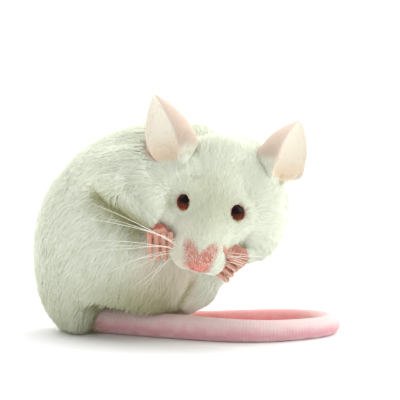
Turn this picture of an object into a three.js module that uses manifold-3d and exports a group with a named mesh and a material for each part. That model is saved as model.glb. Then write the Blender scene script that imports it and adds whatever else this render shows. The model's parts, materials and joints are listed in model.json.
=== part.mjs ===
// White pet mouse sitting hunched on its haunches, grooming: the head is turned to look out to its
// right over the flank, both forepaws are lifted beside the muzzle, and the tail runs forward past
// the feet and loops back behind them. Millimetres, +Z up, floor at z = 0.
// The trunk lies in a plane parallel to XZ with the rump at -X; the face looks towards -Y.
import * as THREE from "three";
import { mergeVertices } from "three/addons/utils/BufferGeometryUtils.js";
import Module from "manifold-3d";

const wasm = await Module();
wasm.setup();

// ---------------------------------------------------------------- driving dimensions
const GAP = 0.3; // clearance between neighbouring pieces
const FLOOR_SINK = 0.35; // how deep a resting round is trimmed, which leaves its small flat

const TRUNK_PLANE = 14; // y of the trunk's own middle plane
const EYE_LINE = [2.05, -3.0, 26.2]; // midpoint between the eyes
const HEAD_PITCH = 44; // degrees the nose points below the horizontal
const HEAD_ROLL = 13.3; // degrees the crown leans towards +X
const EYE_SPREAD = 4.62; // half the distance between the eyeball centres
const EYE_RADIUS = 1.9;
const EAR_WALL = 0.55; // thickness of the ear's sheet
const TOE_RADIUS = 0.55;

// Trunk sections, from the rump to the root of the neck. Each runs from a point on the back
// to a point on the belly in the trunk's plane: [back x, back z, belly x, belly z, half width].
const TRUNK_ROWS = [
  [-28.6, 2.4, -23.0, -0.4, 4.2],
  [-31.6, 8.0, -15.0, -0.6, 9.0],
  [-32.6, 15.0, -8.5, 0.0, 11.6],
  [-31.9, 22.5, -4.0, 2.2, 12.8],
  [-28.6, 30.2, 0.0, 4.6, 13.2],
  [-22.2, 36.6, 3.6, 7.8, 12.9],
  [-13.5, 40.6, 7.0, 11.2, 12.2],
  [-4.0, 41.5, 10.4, 14.6, 11.5],
  [5.0, 39.3, 13.0, 18.0, 10.6],
  [11.4, 35.8, 15.2, 21.6, 9.0],
  [15.4, 31.6, 16.4, 25.8, 5.6],
];

// Head sections along the nose axis: [forward, half width, crown, throat, egg].
// Egg narrows the section towards the crown.
const HEAD_ROWS = [
  [-13.4, 6.4, 2.4, -7.4, 0.05],
  [-11.5, 8.8, 4.3, -9.2, 0.1],
  [-8.0, 10.2, 5.2, -10.0, 0.18],
  [-4.0, 10.4, 4.6, -9.8, 0.3],
  [0.0, 9.5, 3.4, -8.8, 0.47],
  [3.0, 7.4, 2.3, -7.7, 0.47],
  [6.0, 5.5, 1.3, -6.9, 0.36],
  [8.8, 4.4, 0.3, -6.3, 0.25],
  [10.9, 3.4, -0.6, -5.5, 0.12],
  [12.3, 2.2, -1.4, -4.7, 0.05],
];

// Ear sections from the root to the tip: [share of the length, radius of the rolled sheet].
const EAR_ROWS = [
  [0, 2.2],
  [0.2, 4.2],
  [0.5, 4.1],
  [0.78, 2.5],
  [0.93, 1.05],
  [1, 0.3],
];

// Tail centre line on the floor, from inside the rump to the tip: [x, y, radius].
const TAIL_ROWS = [
  [-24.0, 13.5, 2.65],
  [-18.5, 11.4, 2.6],
  [-10.0, 7.4, 2.5],
  [-2.0, 3.8, 2.38],
  [6.0, 1.2, 2.26],
  [13.0, 1.2, 2.14],
  [19.0, 3.6, 2.06],
  [24.0, 7.6, 1.98],
  [25.6, 12.8, 1.9],
  [23.0, 18.0, 1.8],
  [17.0, 21.0, 1.7],
  [9.0, 22.0, 1.55],
  [2.0, 23.2, 1.35],
  [-4.5, 26.4, 1.1],
  [-9.5, 31.2, 0.85],
  [-13.5, 35.4, 0.55],
];
const TAIL_LENGTHS = 6;

// ---------------------------------------------------------------- small tools
const vec = (x, y, z) => new THREE.Vector3(x, y, z);
const radians = THREE.MathUtils.degToRad;
const along = (origin, direction, distance) => origin.clone().addScaledVector(direction, distance);

// Rows whose first column is a rising key become a smooth function of that key: a cubic in each
// interval, with the slope at a row taken from its two neighbours.
function smoothRows(rows) {
  const slope = (i) => {
    const a = rows[Math.max(i - 1, 0)];
    const b = rows[Math.min(i + 1, rows.length - 1)];
    return a.map((value, c) => (b[c] - value) / (b[0] - a[0]));
  };
  return (key) => {
    let i = 0;
    while (i < rows.length - 2 && key > rows[i + 1][0]) i += 1;
    const [p, q, mp, mq] = [rows[i], rows[i + 1], slope(i), slope(i + 1)];
    const span = q[0] - p[0];
    const t = THREE.MathUtils.clamp((key - p[0]) / span, 0, 1);
    const [t2, t3] = [t * t, t * t * t];
    return p.map(
      (value, c) =>
        value * (2 * t3 - 3 * t2 + 1) +
        mp[c] * span * (t3 - 2 * t2 + t) +
        q[c] * (3 * t2 - 2 * t3) +
        mq[c] * span * (t3 - t2),
    );
  };
}
const numbered = (rows) => rows.map((row, i) => [i, ...row]);

// A closed surface from rings of equal count, with a pole past the first and past the last ring.
function ringSurface(rings, startPole, endPole) {
  const count = rings[0].length;
  const points = [startPole, ...rings.flat(), endPole];
  const last = points.length - 1;
  const index = [];
  for (let j = 0; j < count; j += 1) {
    const k = (j + 1) % count;
    index.push(0, 1 + k, 1 + j);
    for (let i = 0; i < rings.length - 1; i += 1) {
      const [a, b] = [1 + i * count, 1 + (i + 1) * count];
      index.push(a + j, a + k, b + k, a + j, b + k, b + j);
    }
    const end = 1 + (rings.length - 1) * count;
    index.push(last, end + j, end + k);
  }
  const geometry = new THREE.BufferGeometry().setFromPoints(points);
  geometry.setIndex(index);
  return geometry;
}

// A closed geometry as a manifold solid with its faces outwards.
function solidOf(geometry) {
  geometry.deleteAttribute("normal");
  geometry.deleteAttribute("uv");
  const merged = mergeVertices(geometry, 1e-4);
  const make = (order) =>
    new wasm.Manifold(
      new wasm.Mesh({
        numProp: 3,
        vertProperties: merged.attributes.position.array,
        triVerts: Uint32Array.from(order),
      }),
    );
  const order = Array.from(merged.index.array);
  const made = make(order);
  return made.volume() > 0 ? made : make(order.reverse());
}

const joined = (solids) => solids.reduce((all, one) => all.add(one));
const cutBy = (solid, cutters) => cutters.reduce((left, cutter) => left.subtract(cutter), solid);

// An ellipsoid; each of its three half sizes lies along the matching axis of the frame.
function ellipsoid(centre, halfSizes, axes, grow = 0, detail = 12) {
  const geometry = new THREE.SphereGeometry(1, detail, Math.round(detail * 0.7));
  const [a, b, c] = axes.map((axis, i) => axis.clone().multiplyScalar(halfSizes[i] + grow));
  const matrix = new THREE.Matrix4().makeBasis(a, b, c).setPosition(centre);
  return solidOf(geometry.applyMatrix4(matrix));
}

// A limb: round sections carried along a smooth path, with domed ends. Rows are [x, y, z, radius].
// Flat squeezes the sections along the direction called thin; dome lists the angles of the rings
// that round off each end.
const ROUND_END = [68, 34];
const SMALL_END = [48];
function limb(rows, shape = {}) {
  const { grow = 0, sides = 10, rings = 4, flat = 1, thin = vec(0, 0, 1), dome = ROUND_END } = shape;
  const at = smoothRows(numbered(rows));
  const end = rows.length - 1;
  const domes = dome.map(radians);
  const stations = [
    ...domes.map((angle) => [0, -Math.sin(angle), Math.cos(angle)]),
    ...Array.from({ length: rings + 1 }, (_, i) => [(end * i) / rings, 0, 1]),
    ...domes.toReversed().map((angle) => [end, Math.sin(angle), Math.cos(angle)]),
  ];
  const place = (key) => vec(...at(key).slice(1, 4));
  const heading = (key) => place(Math.min(key + 0.02, end)).sub(place(Math.max(key - 0.02, 0)));
  const sections = stations.map(([key, push, share]) => {
    const radius = at(key)[4] + grow;
    const tangent = heading(key).normalize();
    const side = thin.clone().cross(tangent).normalize();
    const lift = tangent.clone().cross(side);
    const centre = along(place(key), tangent, push * radius);
    return Array.from({ length: sides }, (_, j) => {
      const angle = (2 * Math.PI * j) / sides;
      const [c, s] = [Math.cos(angle) * radius * share, Math.sin(angle) * radius * share * flat];
      return centre.clone().addScaledVector(side, c).addScaledVector(lift, s);
    });
  });
  const poles = [0, end].map((key, i) =>
    along(place(key), heading(key).normalize(), (i ? 1 : -1) * (at(key)[4] + grow)),
  );
  return solidOf(ringSurface(sections, poles[0], poles[1]));
}

// A slab between two parallel planes, wide enough to part any piece.
function slab(centre, normal, thickness) {
  const box = new THREE.BoxGeometry(200, 200, thickness);
  box.applyQuaternion(new THREE.Quaternion().setFromUnitVectors(vec(0, 0, 1), normal));
  return solidOf(box.translate(centre.x, centre.y, centre.z));
}

// The half of space behind a plane, as a big block on the side the normal points away from.
const behind = (centre, normal) => slab(along(centre, normal, -100), normal, 200);

const UNDER_FLOOR = slab(vec(0, 0, -50), vec(0, 0, 1), 100);

// ---------------------------------------------------------------- frames
const X = vec(1, 0, 0);
const Y = vec(0, 1, 0);
const Z = vec(0, 0, 1);
const headTurn = new THREE.Quaternion()
  .setFromAxisAngle(Y, radians(HEAD_ROLL))
  .multiply(new THREE.Quaternion().setFromAxisAngle(X, radians(HEAD_PITCH)));
const FORWARD = vec(0, -1, 0).applyQuaternion(headTurn);
const LEFT = X.clone().applyQuaternion(headTurn);
const CROWN = Z.clone().applyQuaternion(headTurn);
const EYES = vec(...EYE_LINE);
const HEAD_AXES = [FORWARD, LEFT, CROWN];

// A point of the head, measured from the midpoint between the eyes.
const onHead = (forward, left, up) => along(along(along(EYES, FORWARD, forward), LEFT, left), CROWN, up);

// ---------------------------------------------------------------- trunk, neck and haunches
function trunkSolid(grow = 0) {
  const at = smoothRows(numbered(TRUNK_ROWS));
  const end = TRUNK_ROWS.length - 1;
  const sides = 16;
  const steps = 11;
  const section = (key) => {
    const [, kx, kz, bx, bz, width] = at(key);
    const back = vec(kx, TRUNK_PLANE, kz);
    const belly = vec(bx, TRUNK_PLANE, bz);
    const lift = back.clone().sub(belly);
    const half = lift.length() / 2 + grow;
    lift.normalize();
    const centre = vec((kx + bx) / 2, TRUNK_PLANE, (kz + bz) / 2);
    return { centre, lift, half, width: width + grow };
  };
  const rings = Array.from({ length: steps + 1 }, (_, i) => {
    const { centre, lift, half, width } = section((end * i) / steps);
    return Array.from({ length: sides }, (_, j) => {
      const angle = (2 * Math.PI * j) / sides;
      return centre
        .clone()
        .addScaledVector(Y, width * Math.cos(angle))
        .addScaledVector(lift, half * Math.sin(angle));
    });
  });
  const first = section(0);
  const last = section(end);
  const rumpPole = along(first.centre, first.lift.clone().cross(Y), -1.6 - grow);
  const chestPole = along(last.centre, last.lift.clone().cross(Y), 1.6 + grow);
  return solidOf(ringSurface(rings, rumpPole, chestPole));
}

// side is -1 for the mouse's right, the near side, and +1 for its left.
const haunch = (side, grow = 0) =>
  ellipsoid(
    vec(-13.0, TRUNK_PLANE + side * 6.8, 15.2),
    [13.8, 8.4, 11.6],
    [vec(0.9, 0, 0.436), Y, vec(-0.436, 0, 0.9)],
    grow,
    14,
  );
// The haunch ends inside the trunk at a plane parallel to the trunk's own.
const HAUNCH_ROOT = 6.0; // distance of that plane from the trunk's middle plane
const haunchRoot = (side, shift) =>
  behind(vec(0, TRUNK_PLANE + side * (HAUNCH_ROOT - shift), 0), vec(0, side, 0));

// The neck, with the loose skin that smooths it into its neighbours: the scruff over the near
// shoulder, and the jowl between the far cheek and the shoulder behind it.
const NECK_ROWS = [
  [8.0, 15.5, 27.5, 8.6],
  [6.8, 12.0, 30.0, 9.2],
  [5.0, 8.6, 31.0, 8.8],
  [4.0, 6.0, 31.0, 7.4],
];
const SCRUFF_ROWS = [
  [-18.5, 12.5, 32.0, 5.6],
  [-13.5, 10.5, 33.8, 6.4],
  [-7.0, 9.0, 35.0, 6.4],
  [0.0, 9.0, 35.4, 6.0],
];
const JOWL_ROWS = [
  [10.2, 5.2, 20.6, 4.8],
  [10.0, 4.3, 25.5, 6.5],
  [9.4, 5.2, 30.6, 6.4],
  [8.6, 7.0, 33.4, 5.4],
  [6.4, 7.5, 35.0, 4.4],
];
const neckSolid = (grow = 0) =>
  joined([NECK_ROWS, SCRUFF_ROWS, JOWL_ROWS].map((rows) => limb(rows, { grow, sides: 9, rings: 3 })));

// ---------------------------------------------------------------- head
function headSolid(grow = 0) {
  const at = smoothRows(HEAD_ROWS);
  const first = HEAD_ROWS[0][0];
  const last = HEAD_ROWS.at(-1)[0];
  const sides = 17;
  const steps = 11;
  const rings = Array.from({ length: steps + 1 }, (_, i) => {
    const forward = first + ((last - first) * i) / steps;
    const [, width, crown, throat, egg] = at(forward);
    const middle = (crown + throat) / 2;
    const half = (crown - throat) / 2 + grow;
    return Array.from({ length: sides }, (_, j) => {
      const angle = (2 * Math.PI * j) / sides;
      const [c, s] = [Math.cos(angle), Math.sin(angle)];
      return onHead(forward, (width + grow) * c * (1 - egg * s), middle + half * s);
    });
  });
  const skull = solidOf(
    ringSurface(rings, onHead(first - 1.2 - grow, 0, -2.5), onHead(last + 0.7 + grow, 0, -3.0)),
  );
  const pads = [-1, 1].map((side) =>
    ellipsoid(onHead(8.7, side * 2.75, -3.9), [3.6, 3.0, 2.5], HEAD_AXES, grow, 10),
  );
  const chin = ellipsoid(onHead(6.4, 0, -6.0), [5.0, 2.8, 2.0], HEAD_AXES, grow, 10);
  const nose = ellipsoid(onHead(12.3, 0, -2.7), [1.3, 1.8, 1.4], HEAD_AXES, grow, 9);
  return joined([skull, ...pads, chin, nose]);
}

// Blocks of the head's frame that the thin cuts follow: in front of the nose's root, and below
// the line of the mouth.
const NOSE_ROOT = 12.0;
const MOUTH = { back: 4.2, up: -5.7 };
const noseBlock = (shift) => behind(onHead(NOSE_ROOT - shift, 0, 0), FORWARD.clone().negate());
const mouthBlock = (shift) =>
  behind(onHead(0, 0, MOUTH.up + shift), CROWN).intersect(
    behind(onHead(MOUTH.back - shift, 0, 0), FORWARD.clone().negate()),
  );

const eyeCentre = (side) => onHead(0, side * EYE_SPREAD, 0);
const eyeSolid = (side, grow = 0) =>
  ellipsoid(eyeCentre(side), [EYE_RADIUS, EYE_RADIUS, EYE_RADIUS], HEAD_AXES, grow, 10);

// ---------------------------------------------------------------- ears
// The ear is a thin sheet rolled into a pointed funnel round its long axis. Angles run from the
// side of the crown towards the viewer of the face. The sheet goes from its front rim round the
// crown's side and the back to its outer rim, so the mouth of the funnel faces out and forwards.
const EARS = {
  ear_right: { side: -1, root: [-6.9, -7.8, 2.4], tip: [-17.4, -15.3, 8.0] },
  ear_left: { side: 1, root: [-8.7, 10.4, 2.7], tip: [-20.5, 13.2, 6.9] },
};
const EAR_FRONT_RIM = 76; // degrees from the inward side, towards the viewer of the face
const EAR_OUTER_RIM = -188;

function earSolid({ side, root, tip }) {
  const base = onHead(...root);
  const axis = onHead(...tip).sub(base);
  const length = axis.length();
  axis.normalize();
  const facing = vec(0, -1, 0.1);
  const inward = facing.clone().cross(axis).multiplyScalar(side).normalize();
  const front = inward.clone().cross(axis).multiplyScalar(-side).normalize();
  const at = smoothRows(EAR_ROWS);
  const arc = 7;
  const steps = 8;
  const ring = (share) => {
    const [, radius] = at(share);
    const centre = along(base, axis, share * length);
    const wall = Math.min(EAR_WALL / 2, radius * 0.45);
    const spot = (j, distance) => {
      const angle = radians(EAR_FRONT_RIM + ((EAR_OUTER_RIM - EAR_FRONT_RIM) * j) / arc);
      return centre
        .clone()
        .addScaledVector(inward, distance * Math.cos(angle))
        .addScaledVector(front, distance * Math.sin(angle) * 0.85);
    };
    const outer = Array.from({ length: arc + 1 }, (_, j) => spot(j, radius + wall));
    const inner = Array.from({ length: arc + 1 }, (_, j) => spot(arc - j, radius - wall));
    return [...outer, ...inner];
  };
  const rings = Array.from({ length: steps + 1 }, (_, i) => ring(i / steps));
  const sheet = solidOf(ringSurface(rings, base, along(base, axis, length + 0.3)));
  const plug = ellipsoid(along(base, axis, 0.2), [2.4, 2.4, 2.2], [inward, front, axis], 0, 8);
  return sheet.add(plug);
}

// ---------------------------------------------------------------- forelegs
const ARMS = {
  right: {
    upper: [
      [-7.0, 5.4, 33.0, 5.0],
      [-12.0, 3.6, 32.4, 5.0],
      [-15.6, 4.4, 32.0, 5.0],
      [-19.2, 12.0, 31.0, 6.0],
    ],
    fore: [
      [-15.6, 1.6, 31.0, 3.7],
      [-12.8, -1.0, 27.6, 3.1],
      [-9.6, -4.2, 24.2, 2.1],
    ],
    palm: [-7.9, -5.8, 22.0],
    knuckles: [-7.5, -6.9, 20.6],
    spread: [0.96, -0.2, 0.12],
    reach: [0.08, 0.15, -1],
  },
  left: {
    upper: [
      [11.8, 12.6, 28.0, 5.0],
      [12.6, 8.4, 24.4, 4.5],
      [12.0, 4.6, 20.4, 3.6],
    ],
    fore: [
      [11.8, 4.0, 19.8, 3.4],
      [10.8, 0.4, 18.2, 2.8],
      [9.0, -3.0, 17.2, 1.9],
    ],
    palm: [6.9, -4.8, 16.9],
    knuckles: [5.7, -6.6, 14.8],
    spread: [0.62, -0.25, 0.78],
    reach: [-0.74, -0.1, 0.6],
  },
};
const FINGERS = 4;
const FINGER_PITCH = 1.35; // spacing of the knuckles across the paw
const FINGER_LENGTH = 3.9;

const upperArm = (arm, grow = 0) => limb(arm.upper, { grow, sides: 9, rings: 3 });
const foreArm = (arm, grow = 0) => limb(arm.fore, { grow, sides: 9, rings: 3 });

function forepaw(arm, grow = 0) {
  const across = vec(...arm.spread).normalize();
  const down = vec(...arm.reach).normalize();
  const curl = across.clone().cross(down).normalize();
  const palm = ellipsoid(vec(...arm.palm), [2.6, 1.7, 2.1], [across, curl, down], grow, 8);
  const fingers = Array.from({ length: FINGERS }, (_, i) => {
    const offset = (i - (FINGERS - 1) / 2) * FINGER_PITCH;
    const knuckle = along(vec(...arm.knuckles), across, offset);
    const bend = along(knuckle, down, FINGER_LENGTH * 0.55);
    const tip = along(along(bend, down, FINGER_LENGTH * 0.45), curl, -0.35);
    return limb(
      [knuckle, bend, tip].map((p) => [p.x, p.y, p.z, TOE_RADIUS]),
      { grow, sides: 5, rings: 2, thin: curl, dome: SMALL_END },
    );
  });
  return joined([palm, ...fingers]);
}

// ---------------------------------------------------------------- hind feet
const FOOT_HEEL_X = -13.0;
const FOOT_TOE_ROOT_X = -1.4;
const TOE_LENGTH = 4.2;
const FOOT_SPREAD = 4.3; // half the distance between the feet

function hindFoot(side, grow = 0) {
  const y = TRUNK_PLANE + side * FOOT_SPREAD;
  const sole = limb(
    [
      [FOOT_HEEL_X, y, 1.3, 1.5],
      [FOOT_HEEL_X + 5.5, y, 1.2, 1.5],
      [FOOT_TOE_ROOT_X, y, 0.95, 1.75],
    ],
    { grow, sides: 7, rings: 2, flat: 0.8 },
  );
  const toes = [-2, -1, 0, 1, 2].map((n) => {
    const start = vec(FOOT_TOE_ROOT_X, y + n * 0.62, 0.7);
    const heading = vec(1, n * 0.13, 0).normalize();
    const bend = along(start, heading, TOE_LENGTH * (0.62 - 0.06 * Math.abs(n)));
    const tip = along(start, heading, TOE_LENGTH * (1 - 0.1 * Math.abs(n)));
    return limb(
      [
        [start.x, start.y, 0.8, TOE_RADIUS],
        [bend.x, bend.y, 0.85, TOE_RADIUS],
        [tip.x, tip.y, 0.4, TOE_RADIUS * 0.9],
      ],
      { grow, sides: 5, rings: 1, dome: SMALL_END },
    );
  });
  return joined([sole, ...toes]);
}

// The plain hollow under the belly that a foot and its toes stand in.
function footHollow(side) {
  const y = TRUNK_PLANE + side * FOOT_SPREAD;
  const tip = FOOT_TOE_ROOT_X + TOE_LENGTH;
  return limb(
    [
      [FOOT_HEEL_X, y, 0.8, 2.3],
      [FOOT_TOE_ROOT_X, y, 0.8, 2.5],
      [tip, y, 0.8, 2.7],
    ],
    { sides: 8, rings: 2, dome: SMALL_END },
  );
}

// ---------------------------------------------------------------- tail
const tailAt = smoothRows(numbered(TAIL_ROWS));
const TAIL_END = TAIL_ROWS.length - 1;

// The tail's section at a key of its rows: its centre, the level direction across it and its radius.
function tailSection(key, grow = 0) {
  const place = (k) => {
    const [, x, y, radius] = tailAt(THREE.MathUtils.clamp(k, 0, TAIL_END));
    return vec(x, y, radius - FLOOR_SINK / 2);
  };
  const tangent = place(key + 0.05).sub(place(key - 0.05));
  return { centre: place(key), side: Z.clone().cross(tangent).normalize(), radius: tailAt(key)[3] + grow };
}

// One length of the tail between two keys of its rows, with flat ends square to its path.
function tailLength(from, to, grow = 0) {
  const sides = 8;
  const steps = Math.max(2, Math.round((to - from) * 1.3));
  const rings = Array.from({ length: steps + 1 }, (_, i) => {
    const { centre, side, radius } = tailSection(from + ((to - from) * i) / steps, grow);
    return Array.from({ length: sides }, (_, j) => {
      const angle = (2 * Math.PI * (j + 0.5)) / sides;
      return along(along(centre, side, radius * Math.cos(angle)), Z, radius * Math.sin(angle));
    });
  });
  return solidOf(ringSurface(rings, tailSection(from).centre, tailSection(to).centre));
}

// The room of the tail where it passes the flank: round on the body's side, and open outwards
// below a sloping top, so that the flank is tucked in above the tail.
const TUCK_KEYS = [0.5, 4.2]; // keys of the tail between which the flank is tucked in
const TUCK_REACH = 12; // how far the room reaches outwards from the tail's centre
const TUCK_RISE = 0.35; // rise of its top for each millimetre outwards

function tailUndercut(grow) {
  const steps = 5;
  const rings = Array.from({ length: steps + 1 }, (_, i) => {
    const key = THREE.MathUtils.lerp(...TUCK_KEYS, i / steps);
    const { centre, side, radius } = tailSection(key, grow);
    const spot = (out, up) => along(along(centre, side, out), Z, up);
    const inner = [-90, -45, 0, 45, 90].map((angle) =>
      spot(radius * Math.cos(radians(angle)), radius * Math.sin(radians(angle))),
    );
    return [...inner, spot(-TUCK_REACH, radius + TUCK_RISE * TUCK_REACH), spot(-TUCK_REACH, -radius)];
  });
  const [start, end] = TUCK_KEYS.map((key) => tailSection(key, grow).centre);
  return solidOf(ringSurface(rings, start, end));
}

// ---------------------------------------------------------------- materials and assembly
const finish = (color, roughness) => new THREE.MeshStandardMaterial({ color, roughness, metalness: 0 });
const COAT = finish("#eef1e8", 0.9);
const BARE_SKIN = finish("#e9b3ab", 0.6);
const EAR_SKIN = finish("#f3ddcf", 0.6);
const EYE = finish("#3c0d08", 0.12);

const mouse = new THREE.Group();

function addNode(name, solid, material) {
  const trimmed = solid.subtract(UNDER_FLOOR);
  const bodies = trimmed.decompose().sort((a, b) => b.volume() - a.volume());
  const mesh = bodies[0].getMesh();
  const geometry = new THREE.BufferGeometry();
  geometry.setAttribute("position", new THREE.BufferAttribute(mesh.vertProperties, 3));
  geometry.setIndex(new THREE.BufferAttribute(mesh.triVerts, 1));
  geometry.computeVertexNormals();
  const node = new THREE.Mesh(geometry, material);
  node.name = name;
  mouse.add(node);
}

// Each neighbour's shape grown by the gap, which is the room that a piece leaves for it.
const SIDES = { right: -1, left: 1 };
const headRoom = headSolid(GAP);
const neckRoom = neckSolid(GAP);
const armRoom = Object.values(ARMS).flatMap((arm) => [upperArm(arm, GAP), foreArm(arm, GAP)]);
const pawRoom = Object.values(ARMS).map((arm) => forepaw(arm, GAP));
const footRoom = Object.values(SIDES).map((side) => footHollow(side));
const haunchRoom = Object.values(SIDES).map((side) => haunch(side, GAP).subtract(haunchRoot(side, GAP)));
const tailRoom = [tailUndercut(GAP)];
const wholeTailRoom = tailLength(0, TAIL_END, GAP);

// Head and face.
const wholeHead = headSolid();
const eyeRoom = Object.values(SIDES).map((side) => eyeSolid(side, GAP));
addNode("head", cutBy(wholeHead, [noseBlock(GAP), mouthBlock(GAP), ...eyeRoom]), COAT);
addNode("lower_jaw", cutBy(wholeHead.intersect(mouthBlock(0)), [noseBlock(GAP), ...pawRoom]), COAT);
addNode("nose", wholeHead.intersect(noseBlock(0)), BARE_SKIN);
for (const [name, side] of Object.entries(SIDES)) addNode(`eye_${name}`, eyeSolid(side), EYE);
for (const [name, ear] of Object.entries(EARS)) {
  addNode(name, cutBy(earSolid(ear), [headRoom, neckRoom, ...armRoom, trunkSolid(GAP)]), EAR_SKIN);
}

// Neck and trunk. The trunk is parted across its spine into chest, loin and rump.
addNode("neck", cutBy(neckSolid(), [headRoom, ...armRoom]), COAT);
const trunk = cutBy(trunkSolid(), [
  neckRoom,
  headRoom,
  ...armRoom,
  ...haunchRoom,
  ...footRoom,
  ...tailRoom,
  wholeTailRoom,
]);
const CHEST_CUT = [vec(3.0, TRUNK_PLANE, 24), vec(0.93, 0, -0.37).normalize()];
const RUMP_CUT = [vec(-14, TRUNK_PLANE, 12), vec(0.42, 0, 0.91).normalize()];
const [chestCut, rumpCut] = [CHEST_CUT, RUMP_CUT].map(([p, n]) => ({
  low: behind(along(p, n, GAP / 2), n),
  high: behind(along(p, n, -GAP / 2), n.clone().negate()),
}));
addNode("trunk_chest", trunk.subtract(chestCut.low), COAT);
addNode("trunk_loin", cutBy(trunk, [chestCut.high, rumpCut.low]), COAT);
addNode("trunk_rump", cutBy(trunk, [rumpCut.high, chestCut.high]), COAT);

// Legs.
for (const [name, side] of Object.entries(SIDES)) {
  const arm = ARMS[name];
  addNode(`foreleg_${name}_upper`, cutBy(upperArm(arm), [foreArm(arm, GAP), headRoom]), COAT);
  addNode(`foreleg_${name}_lower`, cutBy(foreArm(arm), [forepaw(arm, GAP), headRoom]), COAT);
  addNode(`forepaw_${name}`, cutBy(forepaw(arm), [headRoom]), BARE_SKIN);
  const thigh = haunch(side).subtract(haunchRoot(side, 0));
  addNode(`haunch_${name}`, cutBy(thigh, [...footRoom, ...tailRoom, wholeTailRoom, ...armRoom, headRoom]), COAT);
  addNode(`hindfoot_${name}`, hindFoot(side).subtract(wholeTailRoom), BARE_SKIN);
}

// Tail, in lengths that follow one another.
for (let i = 0; i < TAIL_LENGTHS; i += 1) {
  const step = TAIL_END / TAIL_LENGTHS;
  const from = i * step + (i ? 0.02 : 0);
  const to = (i + 1) * step - (i < TAIL_LENGTHS - 1 ? 0.02 : 0);
  addNode(`tail_${i + 1}`, tailLength(from, to), BARE_SKIN);
}

// The origin is the middle of the model's footprint, on the floor.
const extent = new THREE.Box3().setFromObject(mouse);
const middle = extent.getCenter(vec(0, 0, 0));
mouse.position.set(-middle.x, -middle.y, -extent.min.z);

export default mouse;
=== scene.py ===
# %% [markdown]
# # A white mouse, sitting and grooming
# A still, life-size mouse sits hunched on its haunches. Its head is turned to look out over its
# right flank, both forepaws are lifted beside the muzzle, and the tail lies in a loop on the floor.
# The packed solids give the true outline out to the tips of the coat. Here one skin is made just
# inside them, and the coat is laid over it as many thousands of small closed tufts.

import json
import math

import bpy
import numpy as np
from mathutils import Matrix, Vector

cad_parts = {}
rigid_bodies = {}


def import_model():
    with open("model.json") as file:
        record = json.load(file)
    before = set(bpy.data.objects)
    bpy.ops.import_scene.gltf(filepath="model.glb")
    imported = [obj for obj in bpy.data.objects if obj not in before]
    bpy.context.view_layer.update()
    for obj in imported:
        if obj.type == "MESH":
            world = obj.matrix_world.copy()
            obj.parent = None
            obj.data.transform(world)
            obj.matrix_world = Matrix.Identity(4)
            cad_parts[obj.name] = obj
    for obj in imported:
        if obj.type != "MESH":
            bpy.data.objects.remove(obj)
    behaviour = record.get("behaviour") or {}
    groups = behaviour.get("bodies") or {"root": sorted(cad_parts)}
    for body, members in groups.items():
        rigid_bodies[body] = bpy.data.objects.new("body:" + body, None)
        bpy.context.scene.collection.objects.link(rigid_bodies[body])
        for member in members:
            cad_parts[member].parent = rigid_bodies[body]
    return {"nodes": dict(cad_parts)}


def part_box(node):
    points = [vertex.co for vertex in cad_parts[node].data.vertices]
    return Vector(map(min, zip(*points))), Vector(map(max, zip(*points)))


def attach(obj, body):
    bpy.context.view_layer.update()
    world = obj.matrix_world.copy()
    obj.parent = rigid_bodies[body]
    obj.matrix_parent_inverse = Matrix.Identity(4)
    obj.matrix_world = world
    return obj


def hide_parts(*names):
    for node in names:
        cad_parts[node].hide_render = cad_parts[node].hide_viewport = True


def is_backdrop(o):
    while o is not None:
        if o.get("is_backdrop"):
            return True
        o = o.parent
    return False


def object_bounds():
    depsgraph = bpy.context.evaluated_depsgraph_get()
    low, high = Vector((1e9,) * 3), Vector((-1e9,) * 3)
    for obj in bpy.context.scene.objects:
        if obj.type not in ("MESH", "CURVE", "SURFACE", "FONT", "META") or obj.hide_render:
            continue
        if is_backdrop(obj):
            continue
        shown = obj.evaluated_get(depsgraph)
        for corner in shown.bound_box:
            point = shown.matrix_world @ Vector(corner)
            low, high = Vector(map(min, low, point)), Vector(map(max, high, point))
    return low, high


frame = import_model()
cad_low, cad_high = (np.array(corner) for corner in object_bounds())
MM = 0.001
print("solids:", len(frame["nodes"]), "box in mm:", np.round((cad_high - cad_low) / MM, 1))

# %% [markdown]
# Every surface below is worked out in the part's own layout, in millimetres with the floor at
# z = 0, and is moved into the row's frame at the end. The head has a frame of its own, measured
# from the midpoint between the eyes: forward along the nose, left, and up to the crown.

# %% The layout's frame and the head's frame
rng = np.random.default_rng(11)
EYE_LINE = np.array([2.05, -3.0, 26.2])
HEAD_PITCH, HEAD_ROLL = math.radians(44), math.radians(13.3)
EYE_SPREAD, EYE_RADIUS = 4.62, 1.9
TRUNK_PLANE = 14.0  # y of the plane that halves the trunk
UP = np.array([0.0, 0.0, 1.0])
SIDES = (("right", -1), ("left", 1))


def turned(v):
    """A direction turned by the head's pitch about X, then by its roll about Y."""
    x, y, z = v
    c, s = math.cos(HEAD_PITCH), math.sin(HEAD_PITCH)
    y, z = c * y - s * z, s * y + c * z
    c, s = math.cos(HEAD_ROLL), math.sin(HEAD_ROLL)
    return np.array([c * x + s * z, y, -s * x + c * z])


FORWARD, LEFT, CROWN = turned((0, -1, 0)), turned((1, 0, 0)), turned((0, 0, 1))
HEAD = np.array([FORWARD, LEFT, CROWN])


def on_head(*place):
    """Points given as (forward, left, up) from the midpoint between the eyes, in the layout."""
    return EYE_LINE + np.asarray(place[0] if len(place) == 1 else place, float) @ HEAD


def head_place(points):
    """The reverse: (forward, left, up) of points of the layout."""
    return (points - EYE_LINE) @ HEAD.T


eye_low, eye_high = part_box("eye_left")
shift = (np.array(eye_low) + np.array(eye_high)) / 2 / MM - on_head(0, EYE_SPREAD, 0)
shift[2] = 0.0
print("layout to row frame, mm:", np.round(shift, 3))

# %% [markdown]
# The camera looks level across the floor from a little above, with a long lens, so the mouse fills
# the middle of a square frame. Big soft lamps stand above and behind, and a white room gives
# the rest, as in a light tent.

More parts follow.
